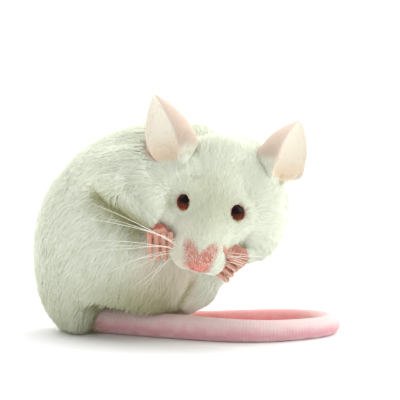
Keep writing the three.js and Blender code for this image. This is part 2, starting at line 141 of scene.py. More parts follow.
# %% Camera and lamps
scene = bpy.context.scene
scene.view_settings.view_transform = "Standard"
VIEW_WIDTH, VIEW_DISTANCE, VIEW_TILT, VIEW_HEIGHT = 76.0, 420.0, math.radians(6), 27.4
SENSOR = 36
ROOM_LIGHT, ROOM_SEEN = 0.61, 1.05  # the room's strength on the mouse, and as the backdrop
LAMPS = {  # azimuth from the back, height and spread in degrees, strength
    "lamp_above": (0, 62, 70, 1.35),
    "lamp_back_left": (55, 34, 60, 1.15),
    "lamp_back_right": (-62, 34, 60, 1.2),
    "lamp_right": (-105, 34, 50, 0.8),
}
target = np.array([0, 0, VIEW_HEIGHT]) + shift
backwards = np.array([0, -math.cos(VIEW_TILT), math.sin(VIEW_TILT)])
camera = bpy.data.objects.new("camera", bpy.data.cameras.new("camera"))
camera.data.sensor_width = SENSOR
camera.data.lens = SENSOR * VIEW_DISTANCE / VIEW_WIDTH
camera.data.clip_start, camera.data.clip_end = 0.01, 100
camera.location = (target + VIEW_DISTANCE * backwards) * MM
camera.rotation_euler = (math.pi / 2 - VIEW_TILT, 0, 0)
scene.collection.objects.link(camera)
scene.camera = camera

world = bpy.data.worlds.new("white_room")
world.use_nodes = True
room_nodes, room_links = world.node_tree.nodes, world.node_tree.links
seen, room = room_nodes.new("ShaderNodeLightPath"), room_nodes.new("ShaderNodeMapRange")
room.inputs["To Min"].default_value, room.inputs["To Max"].default_value = ROOM_LIGHT, ROOM_SEEN
room_links.new(seen.outputs["Is Camera Ray"], room.inputs["Value"])
room_links.new(room.outputs["Result"], room_nodes["Background"].inputs["Strength"])
room_nodes["Background"].inputs["Color"].default_value = (1, 1, 1, 1)
scene.world = world

for name, (azimuth, height, spread, strength) in LAMPS.items():
    lamp = bpy.data.objects.new(name, bpy.data.lights.new(name, "SUN"))
    lamp.data.angle, lamp.data.energy = math.radians(spread), strength
    lamp.rotation_euler = (math.radians(90 - height), 0, math.radians(180 + azimuth))
    scene.collection.objects.link(lamp)
print("lens:", round(camera.data.lens), "mm, lamps:", len(LAMPS))

# %% [markdown]
# Points and directions are rows of numpy arrays, so one line works on a whole surface. A few
# short sums come back all through the script.


# %% Sums on whole arrays
def unit(v):
    """Vectors along the last axis, each divided by its length."""
    return v / np.maximum(np.linalg.norm(v, axis=-1, keepdims=True), 1e-9)


def dot(a, b):
    """The dot product of each pair of vectors."""
    return np.einsum("ij,ij->i", a, b)


def smoothstep(low, high, x):
    """0 below low, 1 above high, and an S-curve between."""
    t = np.clip((x - low) / (high - low), 0, 1)
    return t * t * (3 - 2 * t)


def bell(distance, width):
    """1 at no distance, falling off on both sides as exp(-(distance / width)**2)."""
    return np.exp(-((distance / width) ** 2))


print("halfway up the S-curve:", smoothstep(0, 1, 0.5), "and on the bell:", round(float(bell(1, 1)), 3))

# %% [markdown]
# A mesh is a list of points and a list of faces. Large ones are filled from numpy arrays in one
# call, which is hundreds of times faster than adding faces one by one. They are read back the
# same way.


# %% Arrays into a mesh and back
def read(items, key, width, kind=np.float32):
    """One property of each of a mesh's items, as rows of `width` numbers."""
    flat = np.empty(len(items) * width, kind)
    items.foreach_get(key, flat)
    return flat.reshape(-1, width)


def set_points(made, points):
    """Puts points of the layout, in millimetres, into a mesh that has as many."""
    made.data.vertices.foreach_set("co", ((points + shift) * MM).astype(np.float32).ravel())
    made.data.update()


def points_of(vertices):
    """The places of a mesh's points in the layout, in millimetres."""
    return read(vertices, "co", 3).astype(float) / MM - shift


def normals_of(made):
    """A mesh's smooth normals, one for each point."""
    return read(made.data.vertex_normals, "vector", 3).astype(float)


def mesh_object(name, points, *faces):
    """A smooth object in the row's frame from layout points and arrays of faces, each of one size."""
    mesh = bpy.data.meshes.new(name)
    corners = np.concatenate([f.ravel() for f in faces]).astype(np.int32)
    sizes = np.concatenate([np.full(len(f), f.shape[1]) for f in faces])
    starts = np.concatenate([[0], np.cumsum(sizes)[:-1]]).astype(np.int32)
    made = bpy.data.objects.new(name, mesh)
    mesh.vertices.add(len(points))
    set_points(made, points)
    mesh.loops.add(len(corners))
    mesh.loops.foreach_set("vertex_index", corners)
    mesh.polygons.add(len(sizes))
    mesh.polygons.foreach_set("loop_start", starts)
    mesh.polygons.foreach_set("use_smooth", np.ones(len(sizes), bool))
    mesh.update(calc_edges=True)
    scene.collection.objects.link(made)
    return made


FLOOR_HALF = 30.0 / MM
floor_points = np.array([[-1, -1, 0], [1, -1, 0], [1, 1, 0], [-1, 1, 0]]) * FLOOR_HALF
floor = mesh_object("floor", floor_points - shift, np.array([[0, 1, 2, 3]]))
print("floor:", len(floor.data.polygons), "face")

# %% [markdown]
# Plain things, such as the paper on the floor, a claw or a whisker, have one colour and one
# roughness all over. One helper makes such a material. The floor is staged, as it is shown under
# the mouse and is no part of it.


# %% Plain materials and the floor's paper
def plain_material(name, color, roughness, specular=0.5):
    """A Principled material with fixed values; returns it, its nodes, its links and its shader."""
    material = bpy.data.materials.new(name)
    material.use_nodes = True
    nodes, links = material.node_tree.nodes, material.node_tree.links
    shader = nodes["Principled BSDF"]
    shader.inputs["Base Color"].default_value = (*color, 1)
    shader.inputs["Roughness"].default_value = roughness
    shader.inputs["Specular IOR Level"].default_value = specular
    return material, nodes, links, shader


floor.data.materials.append(plain_material("white_paper", (0.93, 0.93, 0.93), 0.9, 0.1)[0])
floor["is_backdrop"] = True
print("material on the floor:", floor.data.materials[0].name)

# %% [markdown]
# The body is drawn from a few rows of sizes. Between two rows each size follows a cubic curve
# whose slope at a row comes from that row's two neighbours, so a handful of rows makes a smooth
# form. The same rows make the solids.


# %% Rows of sizes into smooth curves
def smooth_rows(rows, keys):
    """Rows read at keys of their first column, by cubics that share a slope at each row."""
    rows, keys = np.asarray(rows, float), np.atleast_1d(np.asarray(keys, float))
    number = np.arange(len(rows))
    before, after = rows[np.maximum(number - 1, 0)], rows[np.minimum(number + 1, len(rows) - 1)]
    slope = (after - before) / (after[:, :1] - before[:, :1])
    i = np.clip(np.searchsorted(rows[:, 0], keys, side="right") - 1, 0, len(rows) - 2)
    p, q, mp, mq = rows[i], rows[i + 1], slope[i], slope[i + 1]
    span = q[:, :1] - p[:, :1]
    t = np.clip((keys[:, None] - p[:, :1]) / span, 0, 1)
    t2, t3 = t * t, t * t * t
    ends = p * (2 * t3 - 3 * t2 + 1) + q * (3 * t2 - 2 * t3)
    return ends + span * (mp * (t3 - 2 * t2 + t) + mq * (t3 - t2))


def by_number(rows, keys):
    """The same for rows that have no key of their own: row 0, row 1 and so on are the keys."""
    rows = np.asarray(rows, float)
    return smooth_rows(np.column_stack([np.arange(len(rows)), rows]), keys)[:, 1:]


print("rows 0, 1 and 4, read between:", by_number([[0.0], [1.0], [4.0]], [0.5, 1.5])[:, 0])

# %% [markdown]
# A form is a stack of rings with a point past each end. Each form also gives guide hairs: a
# point on its surface, the way the coat lies there, and the coat's length, width and depth. The
# skin later reads the coat's lie from the guides near it.

# %% Forms from rings, and their guide hairs
LIMB_AROUND, DIGIT_AROUND = 28, 14  # points round a limb and round a finger or toe
END_ANGLES = np.radians([84, 70, 54, 36, 18])  # latitudes of the rings on a limb's rounded end
forms, guides = {}, []


def ring_faces(count, around):
    """Quads between `count` rings of `around` points, and the fans that close both ends."""
    j = np.arange(around)
    k = (j + 1) % around
    start = 1 + np.arange(count - 1)[:, None] * around
    quads = np.stack([start + j, start + k, start + around + k, start + around + j], -1)
    end = 1 + (count - 1) * around
    fan = np.stack([np.zeros(around, int), 1 + k, 1 + j], -1)
    back = np.stack([np.full(around, end + around), end + j, end + k], -1)
    return quads.reshape(-1, 4), np.concatenate([fan, back])


def closed_form(name, rings, start, end):
    """Stores a closed surface: a start point, rings of shape (count, around, 3), an end point."""
    points = np.concatenate([np.atleast_2d(start), rings.reshape(-1, 3), np.atleast_2d(end)])
    quads, fans = ring_faces(*rings.shape[:2])
    a, b, c = (points[fans[:, i]] for i in range(3))
    outward = dot(np.cross(b - a, c - a), a - points.mean(axis=0)).sum()
    if outward < 0:
        quads, fans = quads[:, ::-1], fans[:, ::-1]
    forms[name] = (points, quads, fans)


def form_rings(name, around):
    """The rings that a form was made from."""
    return forms[name][0][1:-1].reshape(-1, around, 3)


def combed(rings, way, coat, every=(2, 2)):
    """Guide hairs at every so many of a form's points: a way, and the coat's three sizes."""
    packed = [rings, np.broadcast_to(way, rings.shape), np.broadcast_to(coat, rings.shape)]
    guides.append(np.concatenate(packed, -1)[:: every[0], :: every[1]].reshape(-1, 9))


def combed_along(rings, sign, coat, lean=(0, 0, 0)):
    """Guide hairs along a form's rings (+1) or against them (-1), with a lean added."""
    way = unit(np.gradient(rings, axis=0) * sign)
    combed(rings, unit(way + np.asarray(lean, float)), coat, (2, max(1, rings.shape[1] // 24)))


cube = np.array([[[x, y, z] for x, y in ((1, 0), (0, 1), (-1, 0), (0, -1))] for z in (-1.0, 1.0)])
closed_form("sample", cube, (0, 0, -2), (0, 0, 2))
print("two rings of four points give", sum(len(faces) for faces in forms.pop("sample")[1:]), "faces")

# %% [markdown]
# Two forms come back again and again: a limb, which carries circles along a path and rounds off
# both ends, and a ball, which is squeezed or drawn out along three axes.


# %% Limbs and balls
def path_frame(places, thin):
    """Tangent, side and lift along a path: side is square to the path and to `thin`."""
    tangent = unit(np.gradient(places, axis=0))
    side = unit(np.cross(thin, tangent))
    return tangent, side, np.cross(tangent, side)


def circle(around):
    """Cosines and sines of equal steps round a circle."""
    angle = 2 * np.pi * np.arange(around) / around
    return np.cos(angle)[:, None], np.sin(angle)[:, None]


def limb(name, rows, grow=0.0, flat=1.0, thin=UP, around=LIMB_AROUND, along=26):
    """Circles of the rows' radius carried along their smooth path, with half balls at the ends."""
    last, steps = len(rows) - 1, 200
    ends = len(END_ANGLES)
    keys = np.concatenate([np.zeros(ends), np.linspace(0, last, along), np.full(ends, last)])
    push = np.concatenate([-np.sin(END_ANGLES), np.zeros(along), np.sin(END_ANGLES[::-1])])[:, None]
    share = np.concatenate([np.cos(END_ANGLES), np.ones(along), np.cos(END_ANGLES[::-1])])
    sizes = by_number(rows, keys)
    radius = sizes[:, 3:4] + grow
    fine = by_number(rows, np.linspace(0, last, steps))[:, :3]
    nearest_step = np.round(keys / last * (steps - 1)).astype(int)
    tangent, side, lift = (v[nearest_step] for v in path_frame(fine, thin))
    centre = sizes[:, :3] + tangent * push * radius
    c, s = circle(around)
    ring = side[:, None] * c + lift[:, None] * s * flat
    rings = centre[:, None] + ring * radius[:, None] * share[:, None, None]
    start, end = (tangent[i] * radius[i] * 0.02 for i in (0, -1))
    closed_form(name, rings, centre[0] - start, centre[-1] + end)
    return rings


def ball(name, centre, sizes, axes=np.eye(3), around=32, rings=17):
    """An ellipsoid: rings of latitude about the third axis, with a half size along each axis."""
    latitude = np.linspace(-np.pi / 2, np.pi / 2, rings + 2)[1:-1, None, None]
    c, s = circle(around)
    sphere = [np.cos(latitude) * c, np.cos(latitude) * s, np.sin(latitude) * np.ones_like(c)]
    centre, top = np.asarray(centre), axes[2] * sizes[2]
    points = centre + (np.concatenate(sphere, -1) * sizes) @ axes
    closed_form(name, points, centre - top, centre + top)
    return points


ball("sample", np.zeros(3), np.ones(3))
print("a ball has", len(forms.pop("sample")[0]), "points")

# %% [markdown]
# The trunk is a stack of upright ellipses from the rump over the high back to the chest. Each
# ellipse is smaller than the animal by the depth of its coat, which lies back towards the rump
# and a little down.

# %% Trunk
COAT = {"body": 1.1, "neck": 1.0, "face": 0.45, "arm": 0.6}  # depth of the coat over the skin, mm
TRUNK_ROWS = [  # back x, back z, belly x, belly z, half width
    [-28.6, 2.4, -23.0, -0.4, 4.2],
    [-31.6, 8.0, -15.0, -0.6, 9.0],
    [-32.6, 15.0, -8.5, 0.0, 11.6],
    [-31.9, 22.5, -4.0, 2.2, 12.8],
    [-28.6, 30.2, 0.0, 4.6, 13.2],
    [-22.2, 36.6, 3.6, 7.8, 12.9],
    [-13.5, 40.6, 7.0, 11.2, 12.2],
    [-4.0, 41.5, 10.4, 14.6, 11.5],
    [5.0, 39.3, 13.0, 18.0, 10.6],
    [11.4, 35.8, 15.2, 21.6, 9.0],
    [15.4, 31.6, 16.4, 25.8, 5.6],
]


def trunk():
    """Ellipses in planes across the spine: half heights and widths from the trunk's rows."""
    sizes = by_number(TRUNK_ROWS, np.linspace(0, len(TRUNK_ROWS) - 1, 70))
    level = np.full(len(sizes), TRUNK_PLANE)
    back = np.column_stack([sizes[:, 0], level, sizes[:, 1]])
    belly = np.column_stack([sizes[:, 2], level, sizes[:, 3]])
    lift = unit(back - belly)[:, None]
    half = np.linalg.norm(back - belly, axis=1)[:, None, None] / 2 - COAT["body"]
    width = sizes[:, 4][:, None, None] - COAT["body"]
    c, s = circle(84)
    across = np.array([0.0, 1.0, 0.0])
    rings = ((back + belly) / 2)[:, None] + across * width * c + lift * half * s
    start, end = (np.cross(lift[i, 0], across) * 0.6 for i in (0, -1))
    closed_form("trunk", rings, rings[0].mean(axis=0) - start, rings[-1].mean(axis=0) + end)
    combed_along(rings, -1, (3.6, 0.17, COAT["body"]), lean=(-0.1, 0, -0.35))


trunk()
print("trunk:", len(forms["trunk"][0]), "points")

# %% [markdown]
# The haunches are big ovals laid back along the flanks, and the neck is a short thick limb that
# turns from the chest out to the head. Loose skin fills the hollows between these and the head:
# the scruff, the jowls and the nape. A lobe of the belly comes down to its fold above the foot.

# %% Haunches, neck and loose skin
HAUNCH_CENTRE, HAUNCH_SIZES, HAUNCH_SPREAD = (-13.0, 15.2), np.array([13.8, 8.4, 11.6]), 6.8
HAUNCH_AXES = np.array([[0.9, 0, 0.436], [0, 1, 0], [-0.436, 0, 0.9]])
NECK_ROWS = [  # x, y, z, radius, as in all the rows of limbs below
    [8.0, 15.5, 27.5, 8.6],
    [6.8, 12.0, 30.0, 9.2],
    [5.0, 8.6, 31.0, 8.8],
    [4.0, 6.0, 31.0, 7.4],
]
LOBE_ROWS = [[4.6, 9, 15.1, 3.3], [2.1, 9, 12.1, 3.3], [0.45, 9, 9.05, 3.2], [-2, 9, 7.1, 3]]
LOOSE_SKIN = {  # rows, then the coat on them: its depth, its way, its length and its width
    "scruff": (
        [[-18.5, 12.5, 32, 5.6], [-13.5, 10.5, 33.8, 6.4], [-7, 9, 35, 6.4], [0, 9, 35.4, 6]],
        (COAT["neck"], (-0.95, 0.1, -0.2), 3.2, 0.16),
    ),
    "jowl_left": (
        [[10.2, 5.2, 20.6, 4.8], [10, 4.3, 25.5, 6.5], [9.4, 5.2, 30.6, 6.4]]
        + [[8.6, 7, 33.4, 5.4], [6.4, 7.5, 35, 4.4]],
        (COAT["face"], (0.5, 0.6, 0.1), 2.4, 0.15),
    ),
    "jowl_right": (
        [[-5.2, -1.6, 23.6, 3.3], [-6.2, 0.4, 26.6, 4.6], [-6.4, 2.6, 29.4, 5.4], [-4.6, 4.2, 32.6, 5]],
        (COAT["face"], (-0.55, 0.6, 0.1), 2.4, 0.15),
    ),
    "nape": (
        [[-1, 5.2, 33.8, 4.6], [4, 4.3, 34.2, 5.1], [8.5, 5.4, 32.6, 4.9]],
        (COAT["face"], (0.05, 0.7, 0.5), 2.4, 0.15),
    ),
}
for side_name, side in SIDES:
    centre = np.array([HAUNCH_CENTRE[0], TRUNK_PLANE + side * HAUNCH_SPREAD, HAUNCH_CENTRE[1]])
    sizes = HAUNCH_SIZES - COAT["body"]
    rings = ball(f"haunch_{side_name}", centre, sizes, HAUNCH_AXES, around=64, rings=40)
    fan = rings - (centre + np.array([7.0, 0, 16.0]))
    combed(rings, unit(fan), (3.4, 0.17, COAT["body"]), (3, 3))
rings = limb("neck", NECK_ROWS, grow=-COAT["neck"], around=48)
combed_along(rings, -1, (2.8, 0.15, COAT["neck"]), lean=(-0.3, 0.2, 0))
rings = limb("belly_lobe", LOBE_ROWS, grow=-COAT["arm"], around=36)
combed_along(rings, 1, (2.4, 0.15, COAT["arm"]))
for name, (rows, (depth, way, length, width)) in LOOSE_SKIN.items():
    rings = limb(name, rows, grow=-depth, around=40)
    combed(rings, way, (length, width, depth))
print("body forms:", list(forms), "guides:", sum(len(g) for g in guides))

# %% [markdown]
# The head is a row of egg-shaped sections along the nose line, wide at the cheeks and narrow at
# the crown between the eyes. Two pads carry the whiskers, a chin sits under them, and the nose
# is a small cushion at the very tip. The coat runs from the nose back over the face.

# %% Head
HEAD_ROWS = [  # forward, half width, crown, throat, egg
    [-13.4, 6.4, 2.4, -7.4, 0.05],
    [-11.5, 8.8, 4.3, -9.2, 0.1],
    [-8.0, 10.2, 5.2, -10.0, 0.18],
    [-4.0, 10.4, 4.6, -9.8, 0.3],
    [0.0, 9.5, 3.4, -8.8, 0.47],
    [3.0, 7.4, 2.3, -7.7, 0.47],
    [6.0, 5.5, 1.3, -6.9, 0.36],
    [8.8, 4.4, 0.3, -6.3, 0.25],
    [10.9, 3.4, -0.6, -5.5, 0.12],
    [12.3, 2.2, -1.4, -4.7, 0.05],
]
PADS = {"right": (-2.75, 2.85), "left": (2.45, 2.45)}  # whisker pads: left of the nose line, half width


def head():
    """Egg sections: left = width * cos * (1 - egg * sin), up = middle + half height * sin."""
    rows = np.array(HEAD_ROWS)
    forward = np.linspace(rows[0, 0], rows[-1, 0], 64)
    _, width, crown, throat, egg = smooth_rows(rows, forward).T[:, :, None]
    inset = COAT["face"] * np.clip(1.6 - forward / 9, 0.25, 2.0)[:, None]
    c, s = (v[:, 0] for v in circle(72))
    left = (width - inset) * c * (1 - egg * s)
    up = (crown + throat) / 2 + ((crown - throat) / 2 - inset) * s
    rings = on_head(np.stack([np.broadcast_to(forward[:, None], left.shape), left, up], -1))
    closed_form("head", rings, on_head(rows[0, 0] - 0.6, 0, -2.5), on_head(rows[-1, 0] + 0.6, 0, -3.0))
    near_nose = smoothstep(-4, 11, forward)[:, None, None]
    coat = [2.6 - 1.7 * near_nose, 0.15 - 0.05 * near_nose, 0.62 - 0.42 * near_nose]
    combed(rings, unit(np.gradient(-rings, axis=0)), np.concatenate(coat, -1), (2, 3))


head()
for side_name, (middle, half_width) in PADS.items():
    ball(f"whisker_pad_{side_name}", on_head(8.7, middle, -3.9), [3.5, half_width, 2.4], HEAD)
ball("chin", on_head(6.4, 0, -6.0), [4.7, 2.5, 1.8], HEAD)
ball("nose", on_head(12.2, 0, -2.6), [1.2, 1.75, 1.25], HEAD)
print("head and muzzle:", list(forms)[-5:])

# %% [markdown]
# Each foreleg is an upper arm folded against the chest and a forearm that lifts the paw to the
# muzzle. The palm and four fingers are bare.

# %% Forelegs and paws
ARMS = {  # "fold" is the loose skin that fills between the arm and the cheek
    "right": {
        "fold": [[-10.2, 5.6, 32.6, 5.0], [-10.6, 1.4, 29.8, 4.7], [-8.4, -1.6, 26.8, 3.7]],
        "upper": [[-7, 5.4, 33, 5], [-12, 3.6, 32.4, 5], [-15.6, 4.4, 32, 5], [-19.2, 12, 31, 6]],
        "fore": [[-15.6, 1.6, 31.0, 3.7], [-12.8, -1.0, 27.6, 3.1], [-9.6, -4.2, 24.2, 2.1]],
        "coat_way": (-0.9, 0.15, -0.42),
        "palm": [-7.8, -5.5, 21.5],
        "knuckles": [-7.5, -6.9, 20.6],
        "spread": [0.96, -0.2, 0.12],
        "reach": [0.08, 0.15, -1],
    },
    "left": {
        "fold": [[11.2, 7.4, 27.0, 5.8], [10.6, 3.4, 24.0, 5.0], [9.2, 0.4, 21.0, 4.0]],
        "upper": [[11.8, 12.6, 28.0, 5.0], [12.6, 8.4, 24.4, 4.5], [12.0, 4.6, 20.4, 3.6]],
        "fore": [[11.8, 4.0, 19.8, 3.4], [10.8, 0.4, 18.2, 2.8], [9.0, -3.0, 17.2, 1.9]],
        "coat_way": (0.6, 0.3, -0.74),
        "palm": [6.9, -4.8, 16.9],
        "knuckles": [5.7, -6.6, 14.8],
        "spread": [0.62, -0.25, 0.78],
        "reach": [-0.74, -0.1, 0.6],
    },
}
FINGERS, FINGER_PITCH, FINGER_LENGTH, TOE_RADIUS = 4, 1.35, 3.9, 0.55
ARM_COAT = (2.8, 0.16, COAT["arm"] + 0.2)
digits, claw_roots = [], []


def digit(name, knuckle, bend, tip, radius, thin):
    """A finger or toe: a thin limb with a slight swelling at its joint and at its tip."""
    radii = np.array([radius, radius * 0.82, radius * 0.95, radius * 0.74, radius * 0.86])
    places = np.array([knuckle, knuckle * 0.45 + bend * 0.55, bend, bend * 0.4 + tip * 0.6, tip])
    limb(name, np.column_stack([places, radii]), thin=thin, around=DIGIT_AROUND, along=22)
    digits.append(name)
    claw_roots.append((tip, unit(tip - bend), thin))


for side_name, arm in ARMS.items():
    rings = limb(f"shoulder_fold_{side_name}", arm["fold"], grow=-COAT["arm"], around=36)
    combed(rings, arm["coat_way"], ARM_COAT)
for side_name, arm in ARMS.items():
    rings = limb(f"upper_arm_{side_name}", arm["upper"], grow=-COAT["arm"], around=36)
    combed(rings, arm["coat_way"], ARM_COAT)
    rings = limb(f"forearm_{side_name}", arm["fore"], grow=-COAT["arm"], around=32)
    combed_along(rings[len(rings) // 2 :], 1, (1.7, 0.12, COAT["arm"]))
    across, down = unit(np.array(arm["spread"])), unit(np.array(arm["reach"]))
    curl = unit(np.cross(across, down))
    curl *= np.sign(curl[1])
    palm_axes = np.array([across, curl, down])
    knuckles = np.array(arm["knuckles"])
    ball(f"palm_{side_name}", arm["palm"], [2.7, 1.4, 2.3], palm_axes)
    ball(f"web_{side_name}", knuckles + down * 1.4 + curl * 0.7, [2.6, 0.65, 2.7], palm_axes)
    for i in range(FINGERS):
        place = i - (FINGERS - 1) / 2
        knuckle = knuckles + across * place * FINGER_PITCH - down * 0.7 + curl * 0.25
        bend = knuckle + down * (FINGER_LENGTH * 0.6 - abs(place) * 0.2) - curl * 0.35
        tip = bend + down * (FINGER_LENGTH * 0.56 - abs(place) * 0.2) + curl * 0.45
        digit(f"finger_{side_name}_{i}", knuckle, bend, tip, TOE_RADIUS * 0.98, curl)
print("fingers:", len(digits), "guides:", sum(len(g) for g in guides))

# %% [markdown]
# The long hind feet lie flat under the belly. Each is a sole that widens towards the toes, and
# five toes that spread a little, the middle one the longest.

# %% Hind feet
FOOT_HEEL_X, FOOT_TOE_ROOT_X, TOE_LENGTH, FOOT_SPREAD = -13.0, -1.4, 4.2, 4.3
for side_name, side in SIDES:
    y = TRUNK_PLANE + side * FOOT_SPREAD
    heel, arch = [FOOT_HEEL_X, y, 1.3, 1.5], [FOOT_HEEL_X + 5.5, y, 1.2, 1.5]
    limb(f"sole_{side_name}", [heel, arch, [FOOT_TOE_ROOT_X, y, 0.95, 1.75]], flat=0.8)
    for n in range(-2, 3):
        root = np.array([FOOT_TOE_ROOT_X, y + n * 0.62, 0.8])
        heading = unit(np.array([1, n * 0.13, 0]))
        bend = root + heading * TOE_LENGTH * (0.62 - 0.06 * abs(n))
        tip = root + heading * TOE_LENGTH * (1 - 0.1 * abs(n))
        bend[2], tip[2] = 0.85, 0.45
        digit(f"toe_{side_name}_{n + 2}", root, bend, tip, TOE_RADIUS * 0.95, UP)
print("fingers and toes:", len(digits))

# %% [markdown]
# A mouse's ear is a thin sheet rolled into a pointed funnel, open to the side and front. The
# sheet is an arc whose radius changes from the root to the tip. It goes from the front rim round
# the crown's side and the back to the outer rim. A root of flesh joins it to the crown, and the
# bowl inside it is cut out later.

# %% Ears
EAR_ROWS = [[0, 2.2], [0.2, 4.2], [0.5, 4.1], [0.78, 2.5], [0.93, 1.05], [1, 0.28]]  # share, radius
EARS = {
    "right": {"side": -1, "root": [-6.9, -7.8, 2.4], "tip": [-17.4, -15.3, 8.0]},
    "left": {"side": 1, "root": [-8.7, 10.4, 2.7], "tip": [-20.5, 13.2, 6.9]},
}
EAR_FRONT_RIM, EAR_OUTER_RIM, EAR_WALL = math.radians(76), math.radians(-188), 0.46
EAR_FLAT = 0.85  # the funnel's depth from front to back over its width


def ear(name, side, root, tip):
    """Arcs base + axis * along + distance * (inward * cos(turn) + EAR_FLAT * front * sin(turn))."""
    base, top = on_head(*root), on_head(*tip)
    length, axis = np.linalg.norm(top - base), unit(top - base)
    facing = np.array([0, -1, 0.1])
    inward = unit(np.cross(facing, axis) * side)
    front = unit(np.cross(inward, axis) * -side)
    share = np.linspace(-0.14, 1, 60)[:, None]
    radius = smooth_rows(EAR_ROWS, share[:, 0])[:, 1:2] + np.minimum(share, 0) * 4
    wall = np.minimum(EAR_WALL / 2, radius * 0.4)
    turn = np.linspace(EAR_FRONT_RIM, EAR_OUTER_RIM, 44)
    turns = np.concatenate([turn, turn[::-1]])[None, :, None]
    edge = np.sin(np.pi * np.linspace(0, 1, len(turn)))
    thick = np.concatenate([edge, -edge[::-1]])[None]
    thick = np.sign(thick) * np.abs(thick) ** 0.3
    distance = (radius + wall * thick)[..., None]
    spine = base + axis * (share * length)[..., None]
    rings = spine + inward * distance * np.cos(turns) + front * distance * np.sin(turns) * EAR_FLAT
    closed_form(name, rings, rings[0].mean(axis=0), base + axis * (length + 0.2))
    c, s = circle(48)
    keep = share[:, 0] > -0.02
    bowl = (radius - wall * 1.1)[keep][..., None] * (inward * c + front * s * EAR_FLAT)
    closed_form(f"cut_{name}", spine[keep] + bowl, base - axis * 0.6, base + axis * (length + 1))
    axes = np.array([inward, front, axis])
    middle = base + np.array([0.7, -0.7, -2.2]) @ axes
    rings = ball(f"root_{name}", middle, [3.3, 2.9, 2.9], axes, 40, 24)
    combed(rings, unit(axis * 0.8 - FORWARD * 0.6), (1.3, 0.11, 0.3))
    return {"base": base, "axis": axis, "length": length, "inward": inward, "front": front}


ears = {side_name: ear(f"ear_{side_name}", **spec) for side_name, spec in EARS.items()}
print("ear lengths mm:", [round(float(spec["length"]), 1) for spec in ears.values()])

# %% [markdown]
# The tail is a long tapering tube that lies on the floor. It sinks in by a little, so that it
# rests on a narrow strip and not on a line.

# %% Tail
TAIL_SINK = 0.175
TAIL_ROWS = [  # x, y, radius
    [-24.0, 13.5, 2.65],
    [-18.5, 11.4, 2.6],
    [-10.0, 7.4, 2.5],
    [-2.0, 3.8, 2.38],
    [6.0, 1.2, 2.26],
    [13.0, 1.2, 2.14],
    [19.0, 3.6, 2.06],
    [24.0, 7.6, 1.98],
    [25.6, 12.8, 1.9],
    [23.0, 18.0, 1.8],
    [17.0, 21.0, 1.7],
    [9.0, 22.0, 1.55],
    [2.0, 23.2, 1.35],
    [-4.5, 26.4, 1.1],
    [-9.5, 31.2, 0.85],
    [-13.5, 35.4, 0.55],
]


def tail():
    """Circles of the tail's radius round its path, which lies on the floor."""
    x, y, radius = by_number(TAIL_ROWS, np.linspace(0, len(TAIL_ROWS) - 1, 260)).T
    path = np.column_stack([x, y, radius - TAIL_SINK])
    _, side, lift = path_frame(path, UP)
    c, s = circle(30)
    rings = path[:, None] + (side[:, None] * c + lift[:, None] * s) * radius[:, None, None]
    closed_form("tail", rings, path[0], path[-1] + unit(path[-1] - path[-3]) * 0.4)
    return path, radius


tail_path, tail_radius = tail()
print("tail length mm:", round(float(np.linalg.norm(np.diff(tail_path, axis=0), axis=1).sum()), 1))

# %% [markdown]
# The soft body is one closed skin. The forms of the head, trunk and limbs overlap, so they are
# joined by a voxel remesh, which lays an even net of small squares over their union. The remesh
# is a modifier, so one object first takes in all the forms, and its mesh is then replaced.


# %% Forms into one object
def object_of(name, form_names):
    """One object that holds several forms, each still a closed surface of its own."""
    points, faces, first = [], [[], []], 0
    for form_name in form_names:
        form_points, quads, fans = forms[form_name]
        points.append(form_points)
        faces[0].append(quads + first)
        faces[1].append(fans + first)
        first += len(form_points)
    return mesh_object(name, np.concatenate(points), *(np.concatenate(f) for f in faces))


def evaluated(made):
    """An object as its modifiers make it."""
    return made.evaluated_get(bpy.context.evaluated_depsgraph_get())


def settle(made):
    """Turns an object's modifiers into its own mesh."""
    mesh = bpy.data.meshes.new_from_object(evaluated(made))
    made.modifiers.clear()
    made.data = mesh


print("forms:", len(forms), "with", sum(len(form[0]) for form in forms.values()), "points")

# %% [markdown]
# A net is smoothed by moving each point towards the mean of its neighbours. A few rounds are
# worked out here, and hundreds of rounds are left to the Smooth modifier, which is faster.


# %% Smoothing a net
def edges_of(made):
    """The pairs of points that a mesh's edges join."""
    return read(made.data.edges, "vertices", 2, np.int32)


def neighbour_mean(edges, values):
    """For each point, the mean of the values of the points its edges lead to."""
    count = len(values)
    near, far = np.concatenate([edges, edges[:, ::-1]]).T
    share = np.bincount(near, minlength=count)[:, None]
    total = [np.bincount(near, weights=column[far], minlength=count) for column in values.T]
    return np.column_stack(total) / np.maximum(share, 1)


def relax(points, edges, rounds, pull=0.5):
    """Moves each point a part of the way to its neighbours' mean, `rounds` times."""
    for _ in range(rounds):
        points = points + pull * (neighbour_mean(edges, points) - points)
    return points


def smoothed(made, rounds):
    """A mesh's points after so many rounds of moving half of the way to their neighbours' mean."""
    step = made.modifiers.new("smooth", "SMOOTH")
    step.iterations, step.factor = rounds, 0.5
    points = points_of(evaluated(made).data.vertices)
    made.modifiers.remove(step)
    return points


def loosened(made, points, rounds, share, swell=0.0):
    """Points moved a share of the way to the smoothed net, which is swelled outwards by so much."""
    loose = (smoothed(made, rounds) - points) + swell * normals_of(made)
    points = points + loose * share[:, None]
    set_points(made, points)
    return points


marks = np.array([[0.0, 0, 0], [1, 0, 0], [2, 0, 0]])
print("three in a row, relaxed once:", relax(marks, np.array([[0, 1], [1, 2]]), 1)[:, 0])

# %% [markdown]
# Where the skin is smoothed, and later what each of its points is, follows from how far the
# points lie from centres, lines and marks.


# %% Distances
def off_centre(points, centre, stretch=1.0):
    """How far points lie from a centre, with each axis weighed by a stretch."""
    return np.linalg.norm((points - centre) * stretch, axis=1)


def off_nearest(points, centres):
    """How far points lie from the nearest of a few centres."""
    return np.min([off_centre(points, centre) for centre in centres], axis=0)


